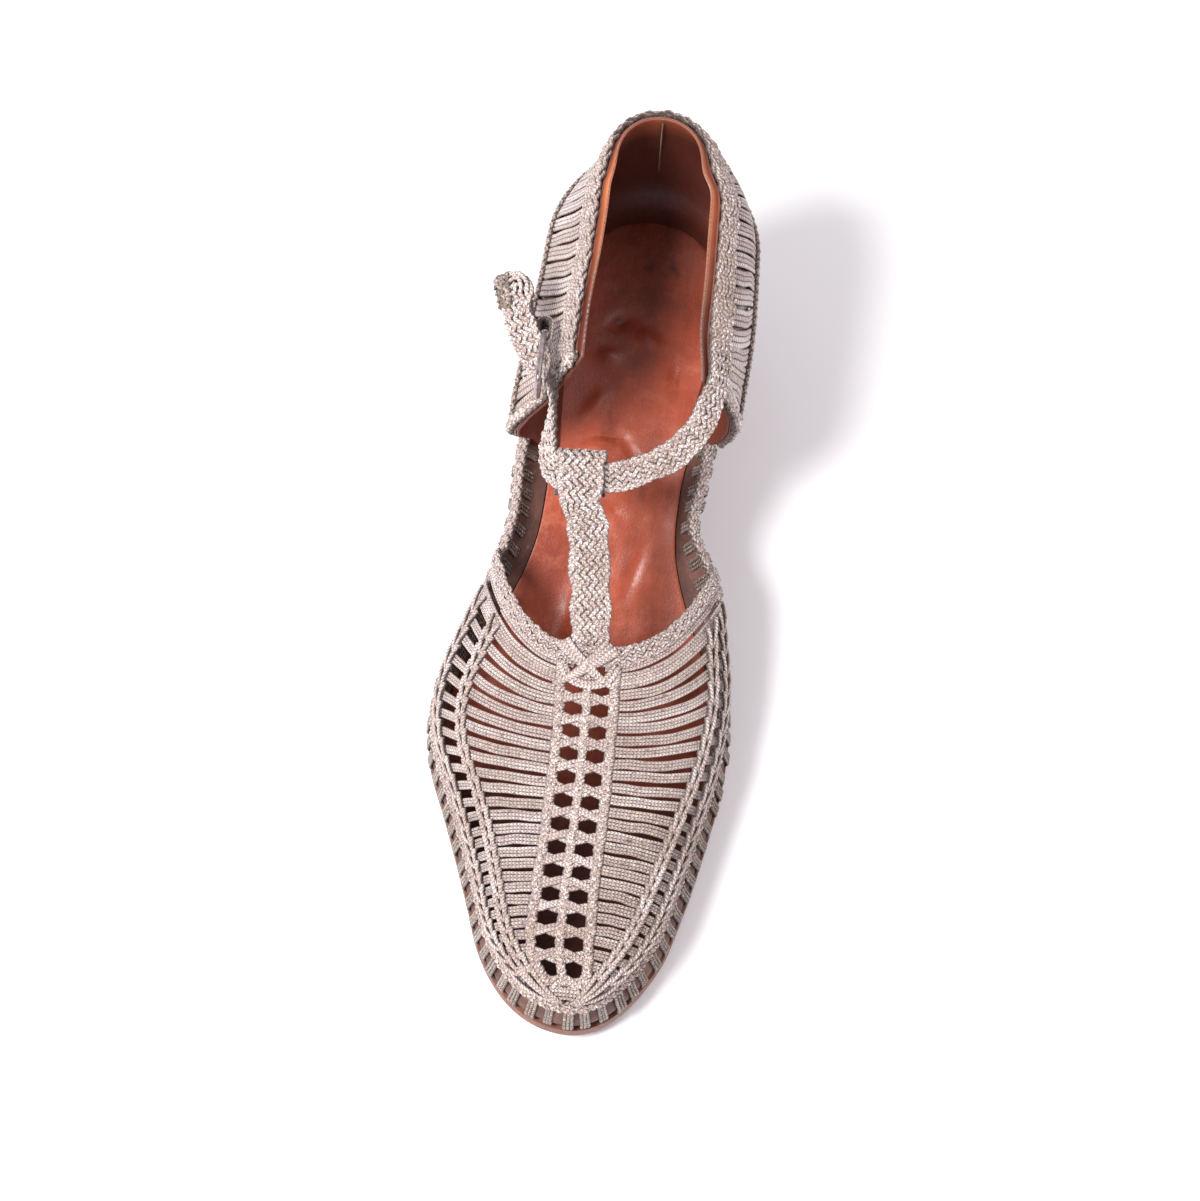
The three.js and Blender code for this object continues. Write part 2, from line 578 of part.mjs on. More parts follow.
const acrossOf = (share) => (2 * Math.asin(clamp(share))) / Math.PI;

// Rows of the weave: a period has a groove, a bar, a gap and a second bar.
const GAP_ROWS = [0, 0.38, 0.5, 0.62];
const HOLE_ROWS = [0, 0.2, 0.5, 0.8];
const HOLE_PINCH = 0.3;
function vampPoints() {
  const rows = [];
  const add = (run, holeRun, kind) => rows.push({ run, holeRun, kind });
  add(0, 0, "edge");
  for (let p = 0; p < WEAVE_PERIODS; p += 1) {
    const at = (share) => lerp(THROAT_BAND, 1 - TOE_BAND, ((p + share) / WEAVE_PERIODS) ** PERIOD_GROWTH);
    GAP_ROWS.forEach((share, k) => add(at(share), at(HOLE_ROWS[k]), ["groove", "gap", "middle", "bar"][k]));
  }
  for (const share of [0, 0.3, 0.6, 0.85, 1]) {
    const run = lerp(1 - TOE_BAND, 1, share);
    add(run, run, share === 0 ? "groove" : "edge");
  }
  return rows;
}
function addVamp() {
  const rows = vampPoints();
  const lineSet = (row, side) => {
    const lines = weaveLines(Math.min(row.run, 1 - 0.3 * TOE_BAND), side);
    const pinch = row.kind === "gap" || row.kind === "bar" ? HOLE_PINCH * (lines.hole - lines.strip) : 0;
    const open = row.kind === "middle" || pinch > 0;
    return [
      { share: lines.strip + pinch, run: row.holeRun },
      { share: lines.hole - pinch, run: row.holeRun },
      { share: lines.band, run: open ? (row.run + row.holeRun) / 2 : row.run },
      { share: lines.middle, run: row.run },
      { share: lines.innerRib[0], run: row.run, rib: true },
      { share: lines.innerRib[1], run: row.run, rib: true },
      { share: lines.outerRib[0], run: row.run, rib: true },
      { share: lines.outerRib[1], run: row.run, rib: true },
      { share: 1, run: row.run },
    ];
  };
  const face = (isOuter) =>
    rows.map((row) => {
      const point = ({ share, run, rib }, side) => {
        const groove = row.kind === "groove" && !rib ? RIB_RAISE : 0;
        const at = Math.min(run, 1 - 1e-3);
        const spot = Math.min(side * acrossOf(share), 1 - 2e-3);
        const out = isOuter ? WEAVE_THICKNESS / 2 - groove : -WEAVE_THICKNESS / 2;
        return offsetPoint(vampSurface, at, Math.max(spot, -1 + 2e-3), out);
      };
      const lateral = lineSet(row, -1).map((line) => point(line, -1));
      const medial = lineSet(row, 1).map((line) => point(line, 1));
      return [...lateral.reverse(), ...medial];
    });
  const gapRow = (i) => rows[i].kind === "gap" || rows[i].kind === "middle";
  const isSolid = (i, j) => {
    const fromRim = Math.min(j, 16 - j);
    const isGap = fromRim === 2 || fromRim === 4 || fromRim === 5;
    return !(gapRow(i) && (isGap || fromRim === 7));
  };
  const strap = strapGeometry(tStrapFrames(), T_STRAP_WIDTH, T_STRAP_THICKNESS);
  addPiece("vamp_and_t_strap", joined(wallMesh(face(true), face(false), isSolid), strap), CORD);
}

// Sweeps a flat strap with chamfered edges along frames of a centre point and the direction of its outer face.
function strapGeometry(frames, width, thickness) {
  const [w, t, c] = [width / 2, thickness / 2, 0.35 * thickness];
  const outline = [[w, t - c], [w - c, t], [c - w, t], [-w, t - c], [-w, c - t], [c - w, -t], [w - c, -t], [w, c - t]];
  const rings = frames.map(({ point, face }, i) => {
    const before = frames[Math.max(0, i - 1)].point;
    const after = frames[Math.min(frames.length - 1, i + 1)].point;
    const tangent = after.clone().sub(before).normalize();
    const across = tangent.clone().cross(face).normalize();
    const normal = across.clone().cross(tangent).normalize();
    return outline.map(([a, b]) => point.clone().addScaledVector(across, a).addScaledVector(normal, b));
  });
  const position = [];
  const triangle = (...corners) => corners.forEach((p) => position.push(p.x, p.y, p.z));
  const count = outline.length;
  for (let i = 0; i < rings.length - 1; i += 1) {
    for (let j = 0; j < count; j += 1) {
      const n = (j + 1) % count;
      triangle(rings[i][j], rings[i][n], rings[i + 1][n]);
      triangle(rings[i][j], rings[i + 1][n], rings[i + 1][j]);
    }
  }
  for (const [ring, turned] of [[rings[0], true], [rings[rings.length - 1], false]]) {
    for (let j = 1; j < count - 1; j += 1) {
      if (turned) triangle(ring[0], ring[j + 1], ring[j]);
      else triangle(ring[0], ring[j], ring[j + 1]);
    }
  }
  return closedGeometry(position);
}

// The ankle strap's middle line and the direction of its outer face.
function anklePoint(at) {
  const part = (key) => column(ANKLE_ROWS, key, at);
  const y = HEEL_BACK_Y - part("back") * QUARTER_LENGTH;
  return new THREE.Vector3(part("side") * BALL_WIDTH, y, part("up") * HEEL_HEIGHT);
}
function ankleFace(at) {
  const part = (key) => column(ANKLE_ROWS, key, at);
  return new THREE.Vector3(part("faceX"), part("faceY"), part("faceZ")).normalize();
}
function addAnkleStrap() {
  const frames = even(40).map((at) => ({ point: anklePoint(at), face: ankleFace(at) }));
  addPiece("ankle_strap", strapGeometry(frames, ANKLE_STRAP_WIDTH, ANKLE_STRAP_THICKNESS), CORD);
}

// The sleeve that the T-strap's folded end makes round the ankle strap.
function sleeveFrame() {
  const middle = anklePoint(SLEEVE_AT);
  const pull = anklePoint(SLEEVE_AT - 0.03).sub(anklePoint(SLEEVE_AT + 0.03)).normalize();
  const face = ankleFace(SLEEVE_AT);
  const rise = face.clone().cross(pull).normalize();
  return { middle, rise, face: pull.clone().cross(rise).normalize() };
}
function tStrapFrames() {
  const { middle, rise, face } = sleeveFrame();
  const radius = (ANKLE_STRAP_THICKNESS + T_STRAP_THICKNESS) / 2 + SLEEVE_PLAY;
  const fold = ANKLE_STRAP_WIDTH / 2 + SLEEVE_PLAY - 0.5 * radius;
  const entry = -(ANKLE_STRAP_WIDTH / 2 + SLEEVE_OVERLAP);
  const spot = (up, out) => middle.clone().addScaledVector(rise, up).addScaledVector(face, out);
  const throat = vampSurface(0, 0);
  const top = spot(entry, radius);
  const frames = [];
  for (const at of even(16)) {
    const y = lerp(throat.y, top.y, column(T_STRAP_ROWS, "reach", at));
    const z = lerp(throat.z, top.z, column(T_STRAP_ROWS, "lift", at)) - T_STRAP_THICKNESS / 2;
    const x = column(T_STRAP_ROWS, "side", at) * BALL_WIDTH;
    const sink = new THREE.Vector3(x, y, z).lerp(top, smooth((at - 0.85) / 0.15));
    frames.push({ point: sink, face });
  }
  for (const share of [0.35, 0.7, 1]) frames.push({ point: spot(lerp(entry, fold, share), radius), face });
  for (const share of [0.2, 0.4, 0.6, 0.8, 1]) {
    const angle = Math.PI * share;
    const out = face.clone().multiplyScalar(Math.cos(angle)).addScaledVector(rise, Math.sin(angle));
    frames.push({ point: spot(fold + radius * Math.sin(angle), radius * Math.cos(angle)), face: out });
  }
  const back = face.clone().negate();
  for (const share of [0.4, 0.8, 1]) {
    const end = entry + SLEEVE_OVERLAP / 2;
    frames.push({ point: spot(lerp(fold, end, share), -radius), face: back });
  }
  return frames;
}

// A frame of wire round the strap, and the tab that holds its rear bar.
function buckleMiddle() {
  const inside = anklePoint(0.7);
  const outside = anklePoint(0.77);
  return inside.lerp(outside, 0.5);
}
function addBuckle() {
  const middle = buckleMiddle();
  const [a, b, r] = [(BUCKLE_LENGTH - BUCKLE_WIRE) / 2, (BUCKLE_WIDTH - BUCKLE_WIRE) / 2, BUCKLE_WIRE / 2];
  const corners = [];
  const bend = 2;
  for (const [sy, sz, from] of [[1, 1, 0], [-1, 1, 1], [-1, -1, 2], [1, -1, 3]]) {
    for (const share of even(3)) {
      const angle = (from + share) * (Math.PI / 2);
      corners.push([sy * (a - bend) + bend * Math.cos(angle), sz * (b - bend) + bend * Math.sin(angle), angle]);
    }
  }
  const rings = corners.map(([y, z, angle]) =>
    even(8).slice(0, 8).map((t) => {
      const turn = 2 * Math.PI * t;
      const out = r * Math.cos(turn);
      const side = r * Math.sin(turn);
      return middle.clone().add(new THREE.Vector3(side, y + out * Math.cos(angle), z + out * Math.sin(angle)));
    }),
  );
  const position = [];
  rings.forEach((ring, i) => {
    const next = rings[(i + 1) % rings.length];
    ring.forEach((p, j) => {
      const n = (j + 1) % 8;
      for (const q of [p, ring[n], next[n], p, next[n], next[j]]) position.push(q.x, q.y, q.z);
    });
  });
  addPiece("buckle", closedGeometry(position), BUCKLE_METAL);
}
function addBuckleTab() {
  const middle = buckleMiddle();
  const hole = BUCKLE_WIRE / 2 + 1.4 * CLEARANCE;
  const outer = hole + TAB_THICKNESS;
  const barY = middle.y + (BUCKLE_LENGTH - BUCKLE_WIRE) / 2;
  const loopPoint = (radius, t) => {
    const angle = 2 * Math.PI * t - Math.PI / 2;
    const back = Math.cos(angle) > 0 ? TAB_LENGTH - 2 * outer : 0;
    return [middle.x + radius * Math.sin(angle), barY + radius * Math.cos(angle) + back];
  };
  const face = (radius) =>
    even(16).slice(0, 16).map((t) =>
      [-0.5, 0.5].map((w) => {
        const [x, y] = loopPoint(radius, t);
        return new THREE.Vector3(x, y, middle.z + w * TAB_WIDTH);
      }),
    );
  addPiece("buckle_tab", wallMesh(face(outer), face(hole), () => true, true), CORD);
}

// Joins pieces that are one body.
const manifold = await Module();
manifold.setup();
const { Manifold, Mesh } = manifold;
function solid(geometry) {
  const bare = geometry.clone();
  bare.deleteAttribute("normal");
  const merged = mergeVertices(bare, 1e-3);
  const vertProperties = merged.attributes.position.array;
  const triVerts = new Uint32Array(merged.index.array);
  return new Manifold(new Mesh({ numProp: 3, vertProperties, triVerts }));
}
function joined(...geometries) {
  const mesh = Manifold.union(geometries.map(solid)).getMesh();
  const position = [];
  for (const vertex of mesh.triVerts) position.push(...mesh.vertProperties.slice(3 * vertex, 3 * vertex + 3));
  return closedGeometry(position);
}

export default sandal;

addOutsole();
addInsole();
addRand();
addEdgePlait();
addHeel();
addQuarter();
addVamp();
addAnkleStrap();
addBuckle();
addBuckleTab();
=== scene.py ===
# The looks of a woven T-bar sandal for the right foot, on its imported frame.
# Sizes and surfaces are in millimetres, as in the solids; meshes are made in metres.
import math

import bpy
import numpy as np
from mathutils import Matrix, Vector


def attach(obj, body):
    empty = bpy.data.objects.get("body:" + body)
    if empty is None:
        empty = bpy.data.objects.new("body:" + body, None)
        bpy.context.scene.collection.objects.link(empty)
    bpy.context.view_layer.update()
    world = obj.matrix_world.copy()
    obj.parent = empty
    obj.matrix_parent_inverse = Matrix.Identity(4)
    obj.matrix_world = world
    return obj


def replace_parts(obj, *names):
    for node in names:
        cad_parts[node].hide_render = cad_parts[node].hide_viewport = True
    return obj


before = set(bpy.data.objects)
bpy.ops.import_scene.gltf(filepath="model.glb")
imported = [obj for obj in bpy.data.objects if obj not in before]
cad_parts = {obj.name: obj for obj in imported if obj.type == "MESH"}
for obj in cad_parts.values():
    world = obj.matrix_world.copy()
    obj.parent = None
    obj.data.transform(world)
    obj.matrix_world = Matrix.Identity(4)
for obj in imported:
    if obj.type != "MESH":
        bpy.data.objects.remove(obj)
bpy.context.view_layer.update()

MM = 0.001
RNG = np.random.default_rng(7)

# Sole and heel
SOLE_LENGTH = 243
BALL_WIDTH = 87
HEEL_HEIGHT = 45
TOE_SPRING = 6
SPRING_START = 0.74
OUTSOLE_THICKNESS = 4
INSOLE_THICKNESS = 2.5
INSOLE_DISH = 1.2
HEEL_BACK_Y = 27
HEEL_END_LENGTH = 28
TOE_END_LENGTH = 30.4
TOP_PIECE_THICKNESS = 5
HEEL_BREAST_LENGTH = 57
HEEL_TAPER = 5.5
HEEL_BACK_CURVE = 1.6
HEEL_SEAT_INSET = 0.9
BREAST_HOLLOW = 2.5
CLEARANCE = 0.3

# Walls of the upper
RAND_HEIGHT = 6
RAND_THICKNESS = 1.8
PLAIT_HEIGHT = 4.2
PLAIT_THICKNESS = 3.4
BULGE_HEIGHT = 24
SHOULDER = {1: 0.3, -1: 0.55}
SHOULDER_HEIGHT = 0.8
QUARTER_LENGTH = 78
QUARTER_BACK_HEIGHT = 56
QUARTER_FRONT_HEIGHT = 49
QUARTER_THICKNESS = 2.6
COLLAR_BAND = 8
QUARTER_STRIPS = 44
STRIP_SLANT = 13
PLAIT_CENTRE = RAND_HEIGHT + CLEARANCE + PLAIT_HEIGHT / 2
WALL_START = RAND_HEIGHT + 2 * CLEARANCE + PLAIT_HEIGHT
VAMP_START = WALL_START + CLEARANCE

# Vamp
VAMP_LENGTH = 100
INSTEP_HEIGHT = 40
TOE_BOX_HEIGHT = 20
VAMP_SWELL = 2.2
WEAVE_PERIODS = 13
PERIOD_GROWTH = 1.06
THROAT_BAND = 0.085
TOE_BAND = 0.045
THROAT_ALONG = 1 - VAMP_LENGTH / SOLE_LENGTH
THROAT_CORNER = 0.453
THROAT_FADE = 0.55
SECTION_POWER = 0.9
THROAT_POWER = 2.5
TOE_ROUND = 0.2
BAND_HALF = 7.8

# Straps
T_STRAP_THICKNESS = 2
T_STRAP_WIDTH = 11.5
ANKLE_STRAP_WIDTH = 8.6
ANKLE_STRAP_THICKNESS = 2
SLEEVE_PLAY = 0.8
SLEEVE_OVERLAP = 3
SLEEVE_AT = 0.42
BUCKLE_LENGTH = 17
BUCKLE_WIRE = 1.6
BUCKLE_WIDTH = ANKLE_STRAP_WIDTH + 2 * BUCKLE_WIRE + 2 * CLEARANCE
TAB_WIDTH = 7
TAB_LENGTH = 9
TAB_THICKNESS = 1.2


def table(columns, *rows):
    """A table of measurements with a name for each column."""
    return dict(zip(columns.split(), np.array(rows, float).T))


# Shares of SOLE_LENGTH, BALL_WIDTH and HEEL_HEIGHT along the sole's edge.
SOLE = table(
    "along medial lateral rise",
    (0.0, 0.31, 0.31, 1.0),
    (0.1, 0.31, 0.31, 0.965),
    (0.2, 0.293, 0.31, 0.915),
    (0.3, 0.24, 0.298, 0.79),
    (0.36, 0.217, 0.295, 0.66),
    (0.42, 0.225, 0.316, 0.5),
    (0.48, 0.29, 0.385, 0.325),
    (0.53, 0.365, 0.468, 0.185),
    (0.58, 0.418, 0.54, 0.075),
    (0.63, 0.43, 0.567, 0.0),
    (0.68, 0.42, 0.548, 0.0),
    (0.74, 0.392, 0.483, 0.0),
    (0.81, 0.352, 0.41, 0.0),
    (0.88, 0.303, 0.345, 0.0),
    (0.94, 0.262, 0.312, 0.0),
    (1.0, 0.24, 0.3, 0.0),
)

# How far the wall stands out from the sole's edge, in shares of BALL_WIDTH: its foot and the rand's top.
WALL_FOOT = table(
    "along welt medial lateral",
    (0.0, 0.012, -0.006, -0.006),
    (0.05, 0.012, -0.002, -0.002),
    (0.1, 0.012, 0.004, 0.004),
    (0.18, 0.012, 0.012, 0.013),
    (0.26, 0.012, 0.028, 0.035),
    (0.32, 0.012, 0.042, 0.062),
    (0.36, 0.012, 0.042, 0.07),
    (0.4, 0.013, 0.028, 0.06),
    (0.44, 0.015, 0.055, 0.05),
    (0.48, 0.017, 0.066, 0.037),
    (0.53, 0.019, 0.018, 0.015),
    (0.6, 0.02, -0.018, -0.01),
    (0.7, 0.02, -0.028, -0.019),
    (0.8, 0.02, -0.034, -0.024),
    (1.0, 0.02, -0.03, -0.03),
)

# The same at the widest height and at the collar.
WALL_TOP = table(
    "along bulge_medial bulge_lateral medial lateral",
    (0.0, 0.015, 0.01, -0.035, -0.035),
    (0.05, 0.02, 0.01, -0.112, -0.12),
    (0.1, 0.03, 0.016, -0.105, -0.138),
    (0.18, 0.052, 0.03, -0.088, -0.133),
    (0.26, 0.085, 0.062, -0.05, -0.108),
    (0.32, 0.105, 0.085, 0.005, -0.1),
    (0.36, 0.11, 0.09, 0.01, -0.1),
    (0.4, 0.11, 0.09, 0.01, -0.1),
    (1.0, 0.11, 0.09, 0.01, -0.1),
)

# Front edges of the quarter, in shares of QUARTER_LENGTH, from its foot to the collar.
QUARTER_FRONT = table(
    "along medial lateral",
    (0.0, 0.98, 1.02),
    (0.3, 0.99, 1.07),
    (0.7, 1.0, 1.05),
    (1.0, 1.0, 0.96),
)

# Ridge of the vamp from the throat to the toe.
RIDGE = table(
    "along side height",
    (0.0, -0.055, 1.0),
    (0.2, -0.046, 0.76),
    (0.4, -0.044, 0.5),
    (0.6, -0.048, 0.28),
    (0.8, -0.05, 0.09),
    (0.9, -0.045, 0.0),
    (1.0, -0.02, -0.1),
)

# Path of the ankle strap and the way its outer face looks.
ANKLE = table(
    "along side back up face_x face_y face_z",
    (0.0, 0.25, 1.047, 1.935, 0.62, -0.25, 0.72),
    (0.1, 0.222, 1.14, 1.88, 0.4, -0.35, 0.85),
    (0.2, 0.142, 1.246, 1.8, 0.15, -0.5, 0.85),
    (0.29, 0.01, 1.318, 1.735, 0, -0.57, 0.82),
    (0.36, -0.07, 1.336, 1.715, 0, -0.57, 0.82),
    (0.42, -0.14, 1.338, 1.714, 0, -0.57, 0.82),
    (0.48, -0.21, 1.338, 1.714, 0, -0.57, 0.82),
    (0.55, -0.252, 1.265, 1.735, -0.85, -0.45, 0.5),
    (0.63, -0.253, 1.122, 1.85, -1, -0.1, 0.05),
    (0.7, -0.266, 1.047, 1.93, -1, 0.3, 0),
    (0.77, -0.346, 0.932, 2.02, -1, 0.35, 0.1),
    (0.84, -0.398, 0.829, 2.1, -0.95, 0.05, 0.3),
    (0.92, -0.41, 0.754, 2.16, -0.5, -0.2, 0.85),
    (1.0, -0.465, 0.754, 2.07, -0.6, -0.5, 0.65),
)

# Path of the T-strap: side in shares of BALL_WIDTH, reach and lift in shares of the way to the sleeve.
T_STRAP = table(
    "along side reach lift",
    (0.0, -0.055, -0.1, -0.1),
    (0.12, -0.056, 0.05, 0.04),
    (0.4, -0.07, 0.36, 0.3),
    (0.7, -0.088, 0.68, 0.62),
    (1.0, -0.11, 1.0, 1.0),
)

# Ribs of the vamp, as shares of the way from the ridge to the rim: at the throat and at the toe.
INNER_RIB = {-1: (0.79, 0.66), 1: (0.9, 0.64)}
OUTER_RIB = {-1: (0.945, 0.9), 1: (0.975, 0.9)}


# ---------------------------------------------------------------- surfaces


def through(knots, values, at):
    """Smooth cubics through the knots; each point may have knots and values of its own."""
    at = np.atleast_1d(np.asarray(at, float))
    grid = (len(knots), len(at))
    x = np.broadcast_to(np.asarray(knots, float).reshape(len(knots), -1), grid)
    y = np.broadcast_to(np.asarray(values, float).reshape(len(knots), -1), grid)
    slope = np.empty(grid)
    slope[0] = (y[1] - y[0]) / (x[1] - x[0])
    slope[-1] = (y[-1] - y[-2]) / (x[-1] - x[-2])
    slope[1:-1] = (y[2:] - y[:-2]) / (x[2:] - x[:-2])
    at = np.clip(at, x[0], x[-1])
    cell = np.clip((at > x).sum(0) - 1, 0, len(knots) - 2)
    pick = lambda a, k: np.take_along_axis(a, k[None], 0)[0]
    x0, x1, y0, y1 = pick(x, cell), pick(x, cell + 1), pick(y, cell), pick(y, cell + 1)
    m0, m1 = pick(slope, cell), pick(slope, cell + 1)
    span = x1 - x0
    s = (at - x0) / span
    return (
        (2 * s**3 - 3 * s**2 + 1) * y0
        + (s**3 - 2 * s**2 + s) * span * m0
        + (3 * s**2 - 2 * s**3) * y1
        + (s**3 - s**2) * span * m1
    )


def read(rows, key, at):
    return through(rows["along"], rows[key], at)


def lerp(a, b, t):
    return a + (b - a) * t


def ease(t):
    t = np.clip(t, 0, 1)
    return t * t * (3 - 2 * t)


def unit(v):
    return v / np.maximum(np.linalg.norm(v, axis=-1, keepdims=True), 1e-12)


def end_round(along):
    heel = HEEL_END_LENGTH / SOLE_LENGTH
    toe = TOE_END_LENGTH / SOLE_LENGTH
    past = np.maximum(np.clip((heel - along) / heel, 0, 1), np.clip((along - 1 + toe) / toe, 0, 1))
    return np.sqrt(1 - past**2)


def sole_rise(along):
    spring = np.clip((along - SPRING_START) / (1 - SPRING_START), 0, 1)
    return np.maximum(0, read(SOLE, "rise", along)) * HEEL_HEIGHT + TOE_SPRING * spring**2


def insole_top(along):
    return sole_rise(along) + OUTSOLE_THICKNESS + CLEARANCE + INSOLE_THICKNESS


def along_of(turn):
    return (1 - np.cos(np.pi * turn)) / 2


def turn_of(along):
    return np.arccos(np.clip(1 - 2 * np.asarray(along, float), -1, 1)) / np.pi


def along_at(y):
    return np.clip((HEEL_BACK_Y - y) / SOLE_LENGTH, 0, 1)


def both(side, medial, lateral):
    return np.where(side > 0, medial, lateral)


def edge_point(side, turn):
    """The sole's edge: side 1 is medial, -1 lateral; turn runs from the heel to the toe."""
    side = np.where((turn < 0) | (turn > 1), -side, side)
    turn = np.where(turn > 1, 2 - turn, np.abs(turn))
    along = along_of(turn)
    half = both(side, read(SOLE, "medial", along), read(SOLE, "lateral", along)) * BALL_WIDTH * end_round(along)
    return np.stack([side * half, HEEL_BACK_Y - along * SOLE_LENGTH], -1)


def edge_normal(side, turn):
    step = 0.004
    run = unit(edge_point(side, turn + step) - edge_point(side, turn - step))
    return np.stack([-run[:, 1] * side, run[:, 0] * side], -1)


def rim_point(side, turn, out, height):
    """A point out from the sole's edge and up from the insole."""
    side, turn, out, height = np.broadcast_arrays(*[np.atleast_1d(np.asarray(v, float)) for v in (side, turn, out, height)])
    flat = edge_point(side, turn) + edge_normal(side, turn) * out[:, None]
    return np.column_stack([flat, insole_top(along_at(flat[:, 1])) + height])


def collar_height(along):
    return lerp(QUARTER_BACK_HEIGHT, QUARTER_FRONT_HEIGHT, ease(1.15 * along * SOLE_LENGTH / QUARTER_LENGTH))


def wall_out(side, along, height):
    side, along, height = np.broadcast_arrays(*[np.atleast_1d(np.asarray(v, float)) for v in (side, along, height)])
    collar = collar_height(along)
    bulge = both(side, read(WALL_TOP, "bulge_medial", along), read(WALL_TOP, "bulge_lateral", along))
    top = both(side, read(WALL_TOP, "medial", along), read(WALL_TOP, "lateral", along))
    shoulder = lerp(bulge, top, both(side, SHOULDER[1], SHOULDER[-1]))
    welt = -read(WALL_FOOT, "welt", along)
    rand = both(side, read(WALL_FOOT, "medial", along), read(WALL_FOOT, "lateral", along))
    zero = np.zeros_like(along)
    heights = np.stack([zero, zero + RAND_HEIGHT, zero + BULGE_HEIGHT, SHOULDER_HEIGHT * collar, collar])
    return through(heights, np.stack([welt, rand, bulge, shoulder, top]) * BALL_WIDTH, height)


def quarter_wall(place, level):
    """The quarter: place -1 is its lateral front, 0 the back and 1 the medial front; level 0 its foot, 1 the collar."""
    place, level = np.broadcast_arrays(*[np.atleast_1d(np.asarray(v, float)) for v in (place, level)])
    side = np.where(place < 0, -1.0, 1.0)
    front = both(side, read(QUARTER_FRONT, "medial", level), read(QUARTER_FRONT, "lateral", level)) * QUARTER_LENGTH
    turn = turn_of(front / SOLE_LENGTH) * np.abs(place)
    height = lerp(WALL_START, collar_height(along_of(turn)), level)
    return rim_point(side, turn, wall_out(side, along_of(turn), height), height)


def vamp_rim(side, run):
    depth = (THROAT_ALONG - THROAT_CORNER) * (1 - ease(run / THROAT_FADE))
    turn = turn_of(np.clip(lerp(THROAT_ALONG, 1, run) - depth, 0, 1))
    return rim_point(side, turn, wall_out(side, along_of(turn), RAND_HEIGHT) - RAND_THICKNESS / 2, VAMP_START)


VAMP_TIP = vamp_rim(np.array([1.0]), np.array([1.0]))[0]


def ridge_point(run):
    along = lerp(THROAT_ALONG, (HEEL_BACK_Y - VAMP_TIP[1]) / SOLE_LENGTH, run)
    height = lerp(TOE_BOX_HEIGHT, INSTEP_HEIGHT, read(RIDGE, "height", run))
    round_off = np.sqrt(np.maximum(0, 1 - np.maximum(0, (run - 1 + TOE_ROUND) / TOE_ROUND) ** 2))
    x = lerp(VAMP_TIP[0], read(RIDGE, "side", run) * BALL_WIDTH, np.sqrt(round_off))
    z = insole_top(along) + lerp(VAMP_START, height, round_off)
    return np.column_stack([x, HEEL_BACK_Y - along * SOLE_LENGTH, z])


def vamp_surface(run, across):
    """The vamp: run 0 is the throat and 1 the toe; across -1 is the lateral rim and 1 the medial rim."""
    run, across = np.broadcast_arrays(*[np.atleast_1d(np.asarray(v, float)) for v in (run, across)])
    rim = vamp_rim(np.where(across < 0, -1.0, 1.0), run)
    ridge = ridge_point(run)
    angle = np.abs(across) * np.pi / 2
    side = np.sin(angle)
    swell = VAMP_SWELL * np.sin(2 * angle) * (1 - ease((run - 0.8) / 0.2))
    x = lerp(ridge[:, 0], rim[:, 0], side) + np.sign(across) * swell
    y = lerp(rim[:, 1], ridge[:, 1], 1 - side**THROAT_POWER)
    z = lerp(rim[:, 2], ridge[:, 2], np.cos(angle) ** SECTION_POWER)
    return np.column_stack([x, y, z])


def facing(surface, a, b, turned=1, step=1e-3):
    """Outward normals of a surface."""
    a, b = np.broadcast_arrays(*[np.atleast_1d(np.asarray(v, float)) for v in (a, b)])
    along = surface(a + step, b) - surface(a - step, b)
    across = surface(a, b + step) - surface(a, b - step)
    return turned * unit(np.cross(along, across))


def ankle_path(at):
    y = HEEL_BACK_Y - read(ANKLE, "back", at) * QUARTER_LENGTH
    return np.column_stack([read(ANKLE, "side", at) * BALL_WIDTH, y, read(ANKLE, "up", at) * HEEL_HEIGHT])


def ankle_face(at):
    return unit(np.column_stack([read(ANKLE, key, at) for key in ("face_x", "face_y", "face_z")]))


def t_strap_path():
    """Points and outer faces of the T-strap, over the ankle strap and back under it."""
    middle = ankle_path(SLEEVE_AT)[0]
    pull = unit(ankle_path(SLEEVE_AT - 0.03)[0] - ankle_path(SLEEVE_AT + 0.03)[0])
    face = ankle_face(SLEEVE_AT)[0]
    rise = unit(np.cross(face, pull))
    face = unit(np.cross(pull, rise))
    radius = (ANKLE_STRAP_THICKNESS + T_STRAP_THICKNESS) / 2 + SLEEVE_PLAY
    fold = ANKLE_STRAP_WIDTH / 2 + SLEEVE_PLAY - 0.5 * radius
    entry = -(ANKLE_STRAP_WIDTH / 2 + SLEEVE_OVERLAP)
    spot = lambda up, out: middle + rise * up + face * out
    throat = vamp_surface(0, 0)[0]
    top = spot(entry, radius)
    points, faces = [], []
    for at in np.linspace(0, 1, 17):
        side, reach, lift = (float(read(T_STRAP, key, at)[0]) for key in ("side", "reach", "lift"))
        y = lerp(throat[1], top[1], reach)
        z = lerp(throat[2], top[2], lift) - T_STRAP_THICKNESS / 2
        points.append(lerp(np.array([side * BALL_WIDTH, y, z]), top, float(ease((at - 0.85) / 0.15))))
        faces.append(face)
    for share in (0.35, 0.7, 1):
        points.append(spot(lerp(entry, fold, share), radius))
        faces.append(face)
    for share in (0.2, 0.4, 0.6, 0.8, 1):
        angle = math.pi * share
        points.append(spot(fold + radius * math.sin(angle), radius * math.cos(angle)))
        faces.append(face * math.cos(angle) + rise * math.sin(angle))
    for share in (0.4, 0.8, 1):
        points.append(spot(lerp(fold, entry + SLEEVE_OVERLAP / 2, share), -radius))
        faces.append(-face)
    return np.array(points), np.array(faces)


# ---------------------------------------------------------------- cords


def spread_out(points, ring=False):
    """How far along the path each point lies."""
    return np.concatenate([[0], np.cumsum(np.linalg.norm(np.diff(points, axis=0), axis=1))])


